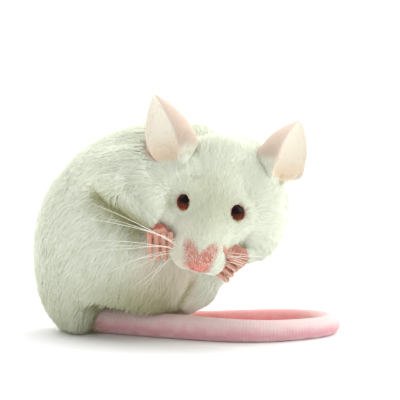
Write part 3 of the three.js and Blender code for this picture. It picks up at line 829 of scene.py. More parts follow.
def off_line(points, line, deep):
    """Distance in the x-z plane from a line, with what lies past a depth in y added."""
    away = np.linalg.norm(points[:, None, [0, 2]] - line[None], axis=2).min(axis=1)
    return away + np.maximum(points[:, 1] - deep, 0)


def squares(points, marks, most=6_000_000):
    """Squared distances |p|**2 + |m|**2 - 2 p . m of points to marks, `most` pairs at a time."""
    for part in np.array_split(points, len(points) * len(marks) // most + 1):
        square = (part**2).sum(axis=1)[:, None] + (marks**2).sum(axis=1) - 2 * part @ marks.T
        yield np.maximum(square, 0)


def nearest(points, marks):
    """Distance from each point to the closest mark, and that mark's number."""
    best = [(square.min(axis=1), square.argmin(axis=1)) for square in squares(points, marks)]
    square, which = (np.concatenate(part) for part in zip(*best))
    return np.sqrt(square), which


print("the point (1.4, 0, 0) is nearest to mark", nearest(np.array([[1.4, 0, 0]]), marks)[1][0])

# %% [markdown]
# The soft parts go into the net. Fingers, toes, ears and tail are left out, as the net's squares
# would blunt them, and are joined on later.

# %% The body's net
SKIN_CELL = 0.36  # side of the net's squares, mm
late = [n for n in forms if n.startswith(("finger", "toe", "tail")) or n in ("ear_right", "ear_left")]
skin = object_of("skin", [n for n in forms if n not in late and not n.startswith("cut")])
net = skin.modifiers.new("net", "REMESH")
net.mode, net.voxel_size = "VOXEL", SKIN_CELL * MM
settle(skin)
edges = edges_of(skin)
body = points_of(skin.data.vertices)
print("body net:", len(body), "points")

# %% [markdown]
# The net is smoothed most of all in the valleys where two forms meet, as loose skin bridges
# them: the deeper a point lies under its smoothed place, the more of the way it moves there. Two
# creases are kept, the one under the near arm and the belly's fold above the foot.

# %% Loose skin
ARM_CREASE = [[-18.2, 28.4], [-15.9, 26.2], [-12.9, 23.8], [-10.2, 21.8]]  # x, z
BELLY_CREASE = [[-0.6, 13.2], [-1.6, 10.6], [-2.6, 8.0], [-3.9, 5.0]]  # x, z

x, y, z = body.T
head_f = head_place(body)[:, 0]

elbow_line, belly_line = (by_number(rows, np.linspace(0, 3, 60)) for rows in (ARM_CREASE, BELLY_CREASE))
arm_rows = [arm[part] for arm in ARMS.values() for part in ("upper", "fore")]
arm_path = np.concatenate([by_number(rows, np.linspace(0, 2, 12)) for rows in arm_rows])
off_arm = (np.linalg.norm(body[:, None] - arm_path[None, :, :3], axis=2) - arm_path[:, 3]).min(axis=1)
off_crease, off_fold = off_line(body, elbow_line, 6), off_line(body, belly_line, 12)
on_paw = off_nearest(body, [arm["palm"] for arm in ARMS.values()])
off_ear = off_nearest(body, [spec["base"] for spec in ears.values()])

shoulder = smoothstep(31.5, 35.0, z) * smoothstep(4.0, 7.0, off_ear)
far_from_arm = np.max([smoothstep(0.6, 4.0, off_arm), smoothstep(-12.5, -15.0, x), shoulder], axis=0)
flank = smoothstep(-2, -8, x) * smoothstep(1.0, 4.5, z) * far_from_arm
flank = flank * smoothstep(0.8, 3.0, off_crease)
body = loosened(skin, body, 400, 0.9 * flank, swell=0.5)
scruff = smoothstep(4.5, -1.0, head_f) * smoothstep(19, 23, body[:, 2])
scruff = scruff * smoothstep(4.0, 6.0, on_paw) * smoothstep(1.0, 4.0, off_crease)
valleys = smoothstep(12.5, 10.5, head_f) * smoothstep(2.0, 3.4, on_paw)
valleys = valleys * smoothstep(0.5, 2.2, off_crease) * smoothstep(0.3, 1.2, off_fold)
for rounds, where, low, high in (
    (1500, scruff, 0.1, 0.9),
    (300, valleys, 0.1, 0.7),
    (120, valleys, 0.08, 0.5),
    (30, valleys, 0.03, 0.2),
):
    slack = smoothed(skin, rounds)
    hollow = dot(slack - body, normals_of(skin))
    body = body + (slack - body) * (0.9 * smoothstep(low, high, hollow) * where)[:, None]
    body = relax(body, edges, 3)
    set_points(skin, body)
cheek = bell(off_centre(body, [12.2, -0.5, 24.5], [1, 0.8, 0.6]), 4.0) * smoothstep(3.0, 5.0, on_paw)
body = loosened(skin, body, 350, 0.95 * cheek, swell=0.45)
by_root = bell(off_nearest(body, [spec["base"] - 0.8 * spec["axis"] for spec in ears.values()]), 3.8)
forehead = bell(off_centre(body, [-1.6, -0.5, 32.2], [1, 0.7, 1]), 3.2)
body = loosened(skin, body, 320, 0.85 * np.maximum(by_root, forehead))
print("share of the net on the loose flank:", round(float(flank.mean()), 2))

# %% [markdown]
# The tail comes out from under the flank. The flank's lower edge is lifted clear of it by a roof
# that starts at the tail's top and rises outwards, so the whole thickness of the tail shows.

# %% The flank's edge over the tail
ROOF_GAP, ROOF_SLOPE = 1.0, 0.35  # above the tail's top, and per millimetre outwards
_, mark = nearest(body * [1, 1, 0], tail_path * [1, 1, 0])
tail_side = path_frame(tail_path, UP)[1]
out = dot((body - tail_path[mark])[:, :2], tail_side[mark][:, :2])
out = out * np.sign(tail_side[60] @ [0, -1, 0])
place = mark / (len(tail_path) - 1) * (len(TAIL_ROWS) - 1)
under = smoothstep(0.45, 1.1, place) * smoothstep(4.6, 3.6, place) * smoothstep(-1.2, 0.2, out)
roof = 2 * tail_radius[mark] + ROOF_GAP + ROOF_SLOPE * np.maximum(out, 0)
lifted = np.maximum(roof - body[:, 2], 0) * under
body[:, 2] += lifted
body = relax(body, edges, 2)
set_points(skin, body)
print("points lifted over the tail:", int((lifted > 0).sum()))

# %% [markdown]
# A mouse's eyes bulge. The skin dips into a shallow orbit round each one, and a lid lies on the
# ball as a thin rolled rim. The ball's opening is nearly round, drawn out a little to a corner
# towards the nose. The orbit is made by moving the net's points, and the rim by a tube on a sphere.

# %% Orbits
EYE_OPENING = math.radians(55)  # from the middle of the eye's front out to the lid's edge
OPENING_RADIUS, OPENING_HEIGHT = EYE_RADIUS * math.sin(EYE_OPENING), EYE_RADIUS * math.cos(EYE_OPENING)
GAZE = {-1: unit(np.array([-0.58, -0.8, 0.14])), 1: unit(np.array([0.46, -0.86, 0.2]))}
LID_AROUND, LID_HALF_WIDTH, LID_HALF_THICK = 14, 0.15, 0.12
eyes = {side: {"centre": on_head(0, side * EYE_SPREAD, 0), "gaze": gaze} for side, gaze in GAZE.items()}


def orbit(points, centre, gaze):
    """Moves points near an eye so that the skin meets the ball at the edge of its opening."""
    away = points - centre
    height = away @ gaze
    radial = np.linalg.norm(away - height[:, None] * gaze, axis=1)
    inside = OPENING_HEIGHT - 1.6 * (OPENING_RADIUS - radial)
    dip = np.where(radial < OPENING_RADIUS, inside, OPENING_HEIGHT + 0.1)
    share = smoothstep(4.6, 2.0, radial) * (height > -1.5)
    return points + gaze * ((dip - height) * share)[:, None]


def lid(name, side, centre, gaze):
    """A tube on the ball: its angle from the gaze widens at the front corner."""
    front = unit(FORWARD - (FORWARD @ gaze) * gaze)
    over = np.cross(gaze, front) * -side
    turn = np.linspace(0, 2 * np.pi, 73)[:-1]
    corner, back = bell(np.minimum(turn, 2 * np.pi - turn), 0.4), bell(turn - np.pi, 0.45)
    angle = EYE_OPENING + math.radians(13) * corner + math.radians(5) * back
    angle = (angle + math.radians(1.5) * np.cos(2 * turn))[:, None]
    level = front * np.cos(turn)[:, None] + over * np.sin(turn)[:, None]
    out = gaze * np.cos(angle) + level * np.sin(angle)
    across = -gaze * np.sin(angle) + level * np.cos(angle)
    c, s = circle(LID_AROUND)
    path = centre + out * (EYE_RADIUS + 0.08)
    rings = path[:, None] + across[:, None] * c * LID_HALF_WIDTH + out[:, None] * s * LID_HALF_THICK
    i, j = np.arange(len(turn))[:, None], np.arange(LID_AROUND)
    i_next, j_next = (i + 1) % len(turn), (j + 1) % LID_AROUND
    corners = [(i, j), (i, j_next), (i_next, j_next), (i_next, j)]
    quads = np.stack([a * LID_AROUND + b + 0 * i for a, b in corners], -1).reshape(-1, 4)
    if np.cross(level[1] - level[0], level[0]) @ gaze > 0:
        quads = quads[:, ::-1]
    forms[name] = (rings.reshape(-1, 3), quads, np.zeros((0, 3), int))


for side_name, side in SIDES:
    body = orbit(body, **eyes[side])
    lid(f"lid_{side_name}", side, **eyes[side])
body = relax(body, edges, 1, 0.3)
body[:, 2] = np.maximum(body[:, 2], 0.0)
set_points(skin, body)
print("eyes set at", np.round(eyes[-1]["centre"], 1), np.round(eyes[1]["centre"], 1))

# %% [markdown]
# The small parts are fused on by exact joins, which keep their crisp shapes: fingers, toes,
# ears, lids and tail are added, then the nostrils, the cleft of the lip and the mouth are cut.

# %% Joining the small parts and cutting the nose and mouth
MOUTH = [(12.7, 0, -4.6), (11.6, 1.3, -5.4), (9.0, 2.7, -6.2), (6.6, 3.3, -6.0)]  # on the head
cuts = ["cut_ear_right", "cut_ear_left"]
for side in (-1, 1):
    slant = unit(0.75 * FORWARD + 0.66 * side * LEFT)
    axes = np.array([slant, np.cross(CROWN, slant), CROWN])
    nostril = on_head(13.05, side * 0.95, -2.95)
    ball(f"cut_nostril_{side}", nostril, [0.75, 0.26, 0.36], axes, 16, 9)
    mouth = np.column_stack([on_head(np.array(MOUTH) * [1, side, 1]), [0.16, 0.2, 0.26, 0.12]])
    limb(f"cut_mouth_{side}", mouth, thin=CROWN, around=12, along=18)
    cuts += [f"cut_nostril_{side}", f"cut_mouth_{side}"]
ball("cut_lip", on_head(13.2, 0, -4.0), [0.7, 0.11, 0.85], HEAD, 16, 9)
cuts.append("cut_lip")


def boolean(made, form_names, operation):
    """Adds or cuts closed forms with Blender's manifold solver."""
    tools = bpy.data.collections.new("tools")
    scene.collection.children.link(tools)
    for form_name in form_names:
        tool = object_of(form_name, [form_name])
        scene.collection.objects.unlink(tool)
        tools.objects.link(tool)
    step = made.modifiers.new("step", "BOOLEAN")
    step.operation, step.solver = operation, "MANIFOLD"
    step.operand_type, step.collection = "COLLECTION", tools
    settle(made)
    for tool in list(tools.objects):
        bpy.data.meshes.remove(tool.data)
    bpy.data.collections.remove(tools)


boolean(skin, late + ["lid_right", "lid_left"], "UNION")
boolean(skin, cuts, "DIFFERENCE")
skin.data.polygons.foreach_set("use_smooth", np.ones(len(skin.data.polygons), bool))
body = points_of(skin.data.vertices)
body[:, 2] = np.maximum(body[:, 2], 0.0)
set_points(skin, body)
print("skin:", len(body), "points,", len(skin.data.polygons), "faces")

# %% [markdown]
# Every point of the skin now learns what it is: nose, lid, lip, ear, paw or tail. Each is a mask
# from 0 to 1. The colours and the coat both read these masks, so their edges always agree.

# %% Masks for the nose, lids and lips
LIPS = MOUTH[:3] + [(10.5, 2.1, -5.9), (7.5, 3.1, -6.1)]
masks = {}


def within(points, centre, sizes, axes=np.eye(3)):
    """How far points lie from an ellipsoid's centre, where 1 is its surface."""
    return np.linalg.norm(((points - centre) @ np.asarray(axes).T) / sizes, axis=1)


edges, normals = edges_of(skin), normals_of(skin)
x, y, z = body.T
head_f, head_l, head_u = head_place(body).T
off_ridge = np.abs(head_l + 0.2)
patch_width = np.interp(head_f, [7.0, 9.0, 11.0, 13.5], [3.2, 3.2, 2.6, 1.7])
blaze = smoothstep(0.6, -0.7, off_ridge - (11.0 - head_f) * 0.72)
patch = smoothstep(1.0, -0.8, off_ridge - patch_width) * smoothstep(7.0, 9.6, head_f) * (1 - blaze)
leather = smoothstep(1.25, 0.95, within(body, on_head(12.7, 0, -3.0), [1.2, 1.7, 1.3], HEAD))
masks["nose"] = np.maximum(patch * smoothstep(-4.2, -3.0, head_u), leather)
off_eye = off_nearest(body, [eye["centre"] for eye in eyes.values()])
masks["lid"] = smoothstep(1.17, 1.06, off_eye / EYE_RADIUS)
lip_marks = np.concatenate([on_head(np.array(LIPS) * [1, side, 1]) for side in (1, -1)])
masks["lip"] = smoothstep(1.0, 0.45, nearest(body, lip_marks)[0])
print("bare points:", {name: round(float(mask.sum())) for name, mask in masks.items()})

# %% [markdown]
# The ears, paws and tail are found by their distance from the forms they were made from.


# %% Masks for the ears, paws and tail
def raise_mask(name, values):
    """Raises a mask to some values, where they are higher than what it holds."""
    masks[name] = np.maximum(masks.get(name, 0.0), values)


for spec in ears.values():
    away = body - spec["base"]
    share = away @ spec["axis"] / spec["length"]
    across = np.hypot(away @ spec["inward"], away @ spec["front"] / EAR_FLAT)
    radius = smooth_rows(EAR_ROWS, np.clip(share, 0, 1))[:, 1]
    on_ear = smoothstep(0.75, 0.4, np.abs(across - radius)) * (share > -0.04) * (share < 1.06)
    raise_mask("ear_inside", (across < radius + 0.02) * on_ear * smoothstep(-0.04, 0.03, share))
    raise_mask("ear", on_ear * smoothstep(0.0, 0.14, share))
    raise_mask("by_ear", smoothstep(1.6, 0.9, across - radius) * (share > 0.08) * (share < 1.1))
    raise_mask("in_bowl", (across < radius + 0.4) * (share > 0.0) * (share < 1.0))
    masks["ear_share"] = np.where(on_ear > 0, np.clip(share, 0, 1), masks.get("ear_share", 0.0))
masks["flap"] = masks["ear"] * smoothstep(-0.02, 0.14, masks["ear_share"])

digit_marks = np.concatenate([form_rings(name, DIGIT_AROUND).mean(axis=1) for name in digits])
on_digit = smoothstep(1.0, 0.72, nearest(body, digit_marks)[0])
palms = [(arm["palm"], [3.0, 2.2, 2.6]) for arm in ARMS.values()]
palms += [(forms[f"web_{name}"][0].mean(axis=0), [2.9, 1.7, 2.9]) for name in ARMS]
off_palm = np.min([within(body, centre, sizes) for centre, sizes in palms], axis=0)
on_palm = smoothstep(1.12, 0.96, off_palm) * smoothstep(12.0, 10.0, head_f) * (1 - on_digit)
masks["paw"] = np.maximum(on_digit, on_palm)
# the palms' own deeper red, and on the right hand painted shadow cast by the cheek
masks["grip"] = on_palm * (0.5 + 0.45 * smoothstep(2, -2, x))
foot_marks = np.concatenate([form_rings(f"sole_{name}", LIMB_AROUND).mean(axis=1) for name in ARMS])
masks["foot"] = smoothstep(2.2, 1.75, nearest(body, foot_marks)[0]) * smoothstep(2.6, 1.9, z)

tail_off, tail_mark = nearest(body, tail_path)
off_tail = tail_off - tail_radius[tail_mark]
masks["tail"] = smoothstep(0.4, 0.1, off_tail)
tail_steps = np.linalg.norm(np.diff(tail_path, axis=0), axis=1)
tail_distance = np.concatenate([[0], np.cumsum(tail_steps)])
tail_start = tail_distance[np.argmin(np.abs(tail_path[:80, 0] + 20.3))]
along_tail = tail_distance[tail_mark] - tail_start
bare_names = ("lid", "ear", "ear_inside", "paw", "foot")
bare = np.max([leather * 0.6] + [masks[name] for name in bare_names], axis=0)
bare = np.maximum(bare, masks["tail"] * (0.45 + 0.55 * smoothstep(0, 2.5, along_tail)))
print("tail leaves the coat", round(float(tail_start), 1), "mm along its path")
print({name: round(float(mask.sum())) for name, mask in masks.items()})

# %% [markdown]
# Creases are found from the net itself: a point sits in a crease when its neighbours' mean lies
# above it, and the bare nose and paws are painted a deeper red there, partly as painted shade.
# The tail also carries the distance along it and the turn round it, for its scale rings. The shade
# is painted shade, olive, for the hollows and the low parts, which little light reaches: under the
# right arm, along the belly's fold, low on the flank, over the snout and forehead, and in the
# crevice above the tail's root.

# %% Creases, tail measure, shade and the skin's own map
SKIN_MASKS = ("nose", "lid", "lip", "ear", "ear_inside", "ear_share", "paw", "grip", "foot")
SKIN_MASKS += ("tail", "crease", "tail_along", "tail_height", "shade", "belly")

sunk = dot(relax(body, edges, 5) - body, normals)
masks["crease"] = neighbour_mean(edges, smoothstep(0.0, 0.09, sunk)[:, None])[:, 0]
tail_tangent = unit(np.gradient(tail_path, axis=0))
past = dot(body - tail_path[tail_mark], tail_tangent[tail_mark])
masks["tail_along"] = tail_distance[tail_mark] + past
masks["tail_height"] = (z - tail_path[tail_mark, 2]) / tail_radius[tail_mark]

hollow = dot(smoothed(skin, 220) - body, normals)
body_fold, under_arm = off_line(body, belly_line, 12), off_line(body, elbow_line + [-0.2, 0.5], 4)
low_front = smoothstep(19, 7, z) * smoothstep(-22, -14, x) * smoothstep(-3, -6, x) * (y < TRUNK_PLANE)
low_back = smoothstep(20, 3, z) * smoothstep(-14, -22, x) * (y < TRUNK_PLANE)
snout = np.exp(-(((head_f - 2.5) / 6.5) ** 2) - (head_l / 5.5) ** 2) * smoothstep(-2.5, 0.5, head_u)
# painted shade: the hollows, a band under the right arm and a spot below it, the low front and back of
# the flank, the snout and forehead, the belly's fold and the crevice above the tail's root; less on the
# belly's lobe
shade = 0.75 * smoothstep(0.05, 0.8, hollow) + 0.9 * bell(under_arm, 1.9) + 0.9 * low_front
shade = shade + 0.45 * snout + 0.45 * low_back + 0.8 * bell(body_fold, 0.9)
shade = shade + 0.5 * bell(off_centre(body, [-10.8, -2.5, 23.0]), 2.6)
lobe = smoothstep(-1.4, 0.2, x) * smoothstep(16, 13, z) * smoothstep(15, 12, y)
by_tail = smoothstep(1.8, 0.2, off_tail) * smoothstep(-2, 1, along_tail) * smoothstep(24, 6, along_tail)
masks["shade"] = np.clip(shade * (1 - 0.7 * lobe) + 0.8 * by_tail, 0, 1)
# warm tint low on the belly and chest: skin showing through the thinner coat, and also painted shade on
# the low front
off_belly = off_centre(body, [-3.5, 4.0, 12.0], [1, 0.5, 0.8])
masks["belly"] = smoothstep(12.5, 4.5, off_belly) * smoothstep(1.5, -1.0, x)


def put_value(mesh, name, values):
    """Stores one number for each point under a name that materials can read."""
    layer = mesh.attributes.new(name, "FLOAT", "POINT")
    layer.data.foreach_set("value", np.ascontiguousarray(values, np.float32))


for name in SKIN_MASKS:
    put_value(skin.data, name, masks[name])
bpy.context.view_layer.objects.active = skin
skin.select_set(True)
skin.data.uv_layers.new(name="OFBake")
bpy.ops.object.mode_set(mode="EDIT")
bpy.ops.mesh.select_all(action="SELECT")
bpy.ops.uv.smart_project(angle_limit=math.radians(66), island_margin=0.001)
bpy.ops.object.mode_set(mode="OBJECT")
print("unwrapped", len(skin.data.loops), "corners")

# %% [markdown]
# The lie of the coat at any point is the weighted mean of the guide hairs near it, with weights
# that fall off over two millimetres, laid flat on the skin. A slow swirl keeps it from being
# combed too evenly.

# %% The lie of the coat
GUIDE_REACH = 1.8


def laid_flat(way, up):
    """Directions made square to `up`: way - (way . up) up, divided by its length."""
    return unit(way - dot(way, up)[:, None] * up)


def veered(way, up, turn):
    """Directions turned about `up` by an angle each, and the direction square to both."""
    way = way * np.cos(turn)[:, None] + np.cross(up, way) * np.sin(turn)[:, None]
    return way, np.cross(up, way)


def coat_at(points, normals):
    """Way, length, width and depth of the coat: gaussian mean of the guides, way laid on the skin."""
    marks = np.concatenate(guides)[::3].astype(np.float32)
    values, spots = marks[:, 3:], marks[:, :3]
    total = []
    for square in squares(points.astype(np.float32), spots, 20_000_000):
        weight = np.exp(-square / GUIDE_REACH**2) + 1e-5 * np.exp(-square / 36) + 1e-12
        total.append(weight @ values / weight.sum(axis=1, keepdims=True))
    values = np.concatenate(total).astype(float)
    way = laid_flat(values[:, :3], normals)
    x, y, z = points.T
    swirl = 0.16 * np.sin(0.55 * x + 0.4 * z + 1.3) * np.cos(0.5 * y - 0.35 * z)
    way, _ = veered(way, normals, swirl + 0.07 * np.sin(1.9 * x - 1.4 * z + 2.1 * y))
    return way, *values[:, 3:].T


def corner_data(mesh):
    """A mesh's triangles: point numbers, and the skin map's place of each corner."""
    mesh.calc_loop_triangles()
    corners = read(mesh.loop_triangles, "vertices", 3, np.int32)
    loops = read(mesh.loop_triangles, "loops", 3, np.int32)
    return corners, read(mesh.uv_layers["OFBake"].data, "uv", 2)[loops]


triangles, triangle_places = corner_data(skin.data)
way, hair_length, hair_width, hair_depth = coat_at(body, normals)
print("hair length mm:", np.round(np.percentile(hair_length, [1, 50, 99]), 2))

# %% [markdown]
# Roots are sown by chance. A large triangle gets more of them than a small one, and one where the
# weight is low gets few.


# %% Sowing roots
def sow(weight, count):
    """Roots on the skin: chance = triangle area * mean weight; place = random corner shares."""
    a, b, c = (body[triangles[:, i]] for i in range(3))
    area = np.linalg.norm(np.cross(b - a, c - a), axis=1) / 2
    chance = area * weight[triangles].mean(axis=1)
    chosen = rng.choice(len(triangles), count, p=chance / chance.sum())
    u, v = rng.random((2, count))
    u, v = np.where(u + v > 1, 1 - u, u), np.where(u + v > 1, 1 - v, v)
    share = np.column_stack([1 - u - v, u, v])
    corners = triangles[chosen]

    def mixed(values):
        """Values of the skin's points, read at the roots."""
        return np.einsum("ij,ij...->i...", share, values[corners])

    return mixed, np.einsum("ij,ijk->ik", share, triangle_places[chosen])


print("skin triangles:", len(triangles))

# %% [markdown]
# A tuft is a thin closed spindle of five points: its start under the skin, three round its
# middle, and its tip. Its normals lean towards the skin's, so tufts shade as one soft coat.

# %% Growing tufts
TUFT_FACES = np.array([[1, 3, 4], [3, 2, 4], [2, 1, 4], [1, 0, 3], [2, 3, 0], [1, 2, 0]])
UNDER_FACES = [2, 5]  # the two that face the skin
TUFT_TIPS = [0.0, 0.55, 0.55, 0.6, 1.0]  # share of the length at each of the five points
TUFT_PLACES = np.array([[-1.5, 0], [0, 1.5], [0, -1.5], [0, 0], [1.5, 0]]) * 0.001  # round the root's


def clear_of_eyes(root, along, length):
    """Lengths cut so that a tuft near an eye stops short of its lid: room / speed towards it."""
    for eye in eyes.values():
        away = root - eye["centre"]
        close = np.linalg.norm(away, axis=1) < 7
        away = away - (away @ eye["gaze"])[:, None] * eye["gaze"]
        off = np.linalg.norm(away, axis=1)
        towards = np.maximum(-dot(along, away) / np.maximum(off, 1e-6), 0.05)
        room = np.maximum(off - OPENING_RADIUS - 0.28, 0.1) / towards
        length = np.where(close, np.minimum(length, room), length)
    return length


def tufts(name, mixed, place, length, width, depth, lift, stray, tone, sunk):
    """Closed spindles from root to tip, six triangles each, with normals leaning to the skin's."""
    root, up, along = mixed(body), unit(mixed(normals)), mixed(way)
    count = len(root)
    along, side = veered(laid_flat(along, up), up, rng.normal(0, stray, count))
    length = clear_of_eyes(root, along, length)
    length, width, depth, lift = (v[:, None] for v in (length, width, depth, lift))
    bow = rng.normal(0, 0.09, count)[:, None] * length
    middle = root + along * length * 0.42 + up * depth * 0.75 + side * bow
    tip = root + along * length + up * (depth + lift)
    half, ridge = side * width / 2, middle + up * width * 0.4
    points = np.stack([root - up * sunk, middle + half, middle - half, ridge, tip], 1)
    points[..., 2] = np.maximum(points[..., 2], 0.02)
    faces = (np.arange(count)[:, None, None] * 5 + TUFT_FACES).reshape(-1, 3)
    made = mesh_object(name, points.reshape(-1, 3), faces)
    lean = unit(np.stack([up, up + 1.2 * side, up - 1.2 * side, up, up + 0.25 * along], 1))
    lean = lean[:, TUFT_FACES]
    lean[:, UNDER_FACES] = unit(0.3 * along - up)[:, None, None]
    made.data.normals_split_custom_set(lean.reshape(-1, 3))
    put_value(made.data, "tip", np.tile(TUFT_TIPS, count))
    put_value(made.data, "tone", np.repeat(tone, 5))
    for mask in ("nose", "shade", "belly", "flap"):
        put_value(made.data, mask, np.repeat(mixed(masks[mask]), 5))
    places = (place[:, None] + TUFT_PLACES)[:, TUFT_FACES]
    layer = made.data.uv_layers.new(name="OFBake")
    layer.data.foreach_set("uv", places.astype(np.float32).ravel())
    return made


print("a tuft has", len(TUFT_FACES), "triangles")

# %% [markdown]
# The coat is sown in patches of the body, each its own mesh. Hair on the trunk is longest, on the
# arms shorter, and on the face finest, down to a thin down over the pink nose. Lengths vary a
# third either way, so the edge of the coat breaks up softly.

# %% Coat on the body, face and ears
TUFTS, DOWN_TUFTS = 30000, 14000  # in each piece
coat_pieces = []


def coat(name, weight, pieces, count, length, width, depth, lift, stray, sunk=0.15):
    """Several pieces of coat sown with one weight; length, width and depth are values on the skin."""
    for i in range(pieces):
        mixed, place = sow(weight, count)
        vary = rng.uniform(0.66, 1.3, count)
        wide = mixed(width) * rng.uniform(0.65, 1.35, count)
        deep = mixed(depth) * rng.uniform(0.25, 1.0, count)
        up = np.abs(rng.normal(0, lift, count)) * mixed(length)
        shape = (mixed(length) * vary, wide, deep, up, stray, rng.random(count), sunk)
        coat_pieces.append(tufts(f"{name}_{i + 1}", mixed, place, *shape))


cover = (1 - bare) * smoothstep(0.02, 0.4, z) * (1 - masks["in_bowl"])
cover *= 0.35 * smoothstep(0.7, 0.95, off_palm) + 0.65 * smoothstep(0.95, 1.15, off_palm)
on_face = within(body, on_head(-1, 0, -2.5), [16, 12.5, 9.5], HEAD) < 1
face_area = smoothstep(-9.0, -7.5, head_f) * on_face
pink_thin = 1 - 0.6 * np.clip(masks["nose"] + masks["lip"] * 0.5, 0, 1)
hair_length = hair_length * (1 - 0.5 * masks["by_ear"])
over_tail = smoothstep(3.8, 1.2, np.abs(off_tail)) * smoothstep(-1, 2, along_tail)
hair_length = hair_length * (1 - 0.78 * over_tail)
face_length = hair_length * (1 - 0.5 * smoothstep(4.4, 2.2, off_eye)) * (1 - 0.35 * masks["nose"])
sizes = (hair_length, hair_width * 1.15, hair_depth * 0.85)
coat("coat_body", cover * (1 - face_area), 4, TUFTS, *sizes, lift=0.026, stray=0.08)
sizes = (face_length, hair_width * 0.95, hair_depth * 0.85)
coat("coat_face", cover * face_area * pink_thin, 2, TUFTS, *sizes, lift=0.025, stray=0.11)

up_ear = masks["ear_share"]
ear_down = masks["ear"] * (1 - masks["ear_inside"]) * smoothstep(1.0, 0.1, up_ear)
ear_down = ear_down * (1 + smoothstep(0.3, 0.06, up_ear))
down_length = 1.9 - 1.4 * smoothstep(0.06, 0.42, up_ear)
down_width = 0.075 - 0.035 * smoothstep(0.06, 0.4, up_ear)
sizes = (down_length, down_width, np.full(len(body), 0.1))
coat("ear_down", ear_down, 1, DOWN_TUFTS, *sizes, lift=0.05, stray=0.2, sunk=0.05)
coat_triangles = sum(len(piece.data.polygons) for piece in coat_pieces)
print("coat pieces:", len(coat_pieces), "triangles:", coat_triangles)

# %% [markdown]
# The eyes are plain balls of the solids' own size, painted dark above as shade and warm below as light.
# Each claw is a small curved cone, smaller on the fingers than on the toes.

# %% Eyes and claws
CLAW_RADII = [0.17, 0.12, 0.03]
eye_pieces = {}
for side_name, side in SIDES:
    name, centre, gaze = f"eyeball_{side_name}", eyes[side]["centre"], eyes[side]["gaze"]
    across = unit(np.cross(CROWN, gaze))
    ball(name, centre, np.full(3, EYE_RADIUS), np.array([across, np.cross(gaze, across), gaze]), 64, 40)
    eye = object_of(name, [name])
    away = (points_of(eye.data.vertices) - centre) / EYE_RADIUS
    # the height in the ball sets the eye's painted shade above and painted light below
    put_value(eye.data, "height", away @ unit(UP + 0.35 * CROWN))
    eye_pieces[side_name] = eye

claw_names = [f"claw_{number}" for number in range(len(claw_roots))]
for number, (tip, heading, thin) in enumerate(claw_roots):
    finger = number < FINGERS * len(ARMS)
    size, down = (0.85, thin * 0.6) if finger else (1.0, -UP)
    places = [tip + heading * 0.1, tip + heading * 0.45 * size + down * 0.06]
    places.append(tip + heading * 0.8 * size + down * 0.22)
    limb(claw_names[number], np.column_stack([places, CLAW_RADII]), around=8, along=8)
claws = object_of("claws", claw_names)
claw_points = points_of(claws.data.vertices)
claw_points[:, 2] = np.maximum(claw_points[:, 2], 0.02)
set_points(claws, claw_points)
print("eyes and claws:", len(claws.data.polygons), "faces on the claws")

# %% [markdown]
# Whiskers are long tapering tubes that fan out from each pad, in three columns. A few finer hairs
# stand above the eyes.

# %% Whiskers and long hairs
WHISKER_FAN = [(151, 18.5), (158, 15.5), (164, 18.5), (171, 16), (176, 14.5), (182, 16.5)]
WHISKER_FAN += [(190, 12.5), (197, 13.5), (206, 9.5), (215, 10.5), (224, 8.5), (234, 8)]
WHISKER_REACH = {-1: 1.0, 1: 0.62}  # the fan's lengths on the far side are foreshortened
BROW_HAIRS = [  # forward, left on the head, then angle in the front view and length, as in the fan
    (-1.6, -4.4, 99, 9.5),
    (-1.2, -4.9, 92, 11.0),
    (-0.8, -5.3, 104, 8.0),
    (-1.2, 4.9, 84, 7.0),
    (-0.8, 5.4, 76, 8.0),
]


def hairs(name, roots, ends, sag, thick, rings_count=9):
    """Tubes of three sides from roots to ends, thin at the tip, with a bow across their line."""
    t = np.linspace(0, 1, rings_count)[None, :, None]
    chord = ends - roots
    path = roots[:, None] + chord[:, None] * t + sag[:, None] * (4 * t * (1 - t))
    tangent = unit(np.gradient(path, axis=1))
    side = unit(np.cross(tangent, np.array([0.13, 0.3, 0.95])))
    lift = np.cross(tangent, side)
    radius = (thick[:, None] * np.linspace(1, 0.35, rings_count))[..., None, None]
    c, s = circle(3)
    rings = path[:, :, None] + (side[:, :, None] * c + lift[:, :, None] * s) * radius
    tips = (ends + unit(chord) * 0.05)[:, None]
    points = np.concatenate([rings.reshape(len(roots), -1, 3), tips], 1)
    i, j = 3 * np.arange(rings_count - 1)[:, None], np.arange(3)
    k = (j + 1) % 3
    quads = np.stack([i + j, i + k, i + 3 + k, i + 3 + j], -1).reshape(-1, 4)
    end = (rings_count - 1) * 3
    tip_fan = [[end, end + 1, end + 3], [end + 1, end + 2, end + 3], [end + 2, end, end + 3]]
    fans = np.array([[0, 2, 1]] + tip_fan)
    first = np.arange(len(roots))[:, None, None] * points.shape[1]
    faces = ((first + part).reshape(-1, part.shape[1]) for part in (quads, fans))
    return mesh_object(name, points.reshape(-1, 3), *faces)


def in_view(angle):
    """A direction at an angle in the front view, leaning a little to the front."""
    turn = math.radians(angle)
    return np.array([math.cos(turn), -0.35, math.sin(turn)])


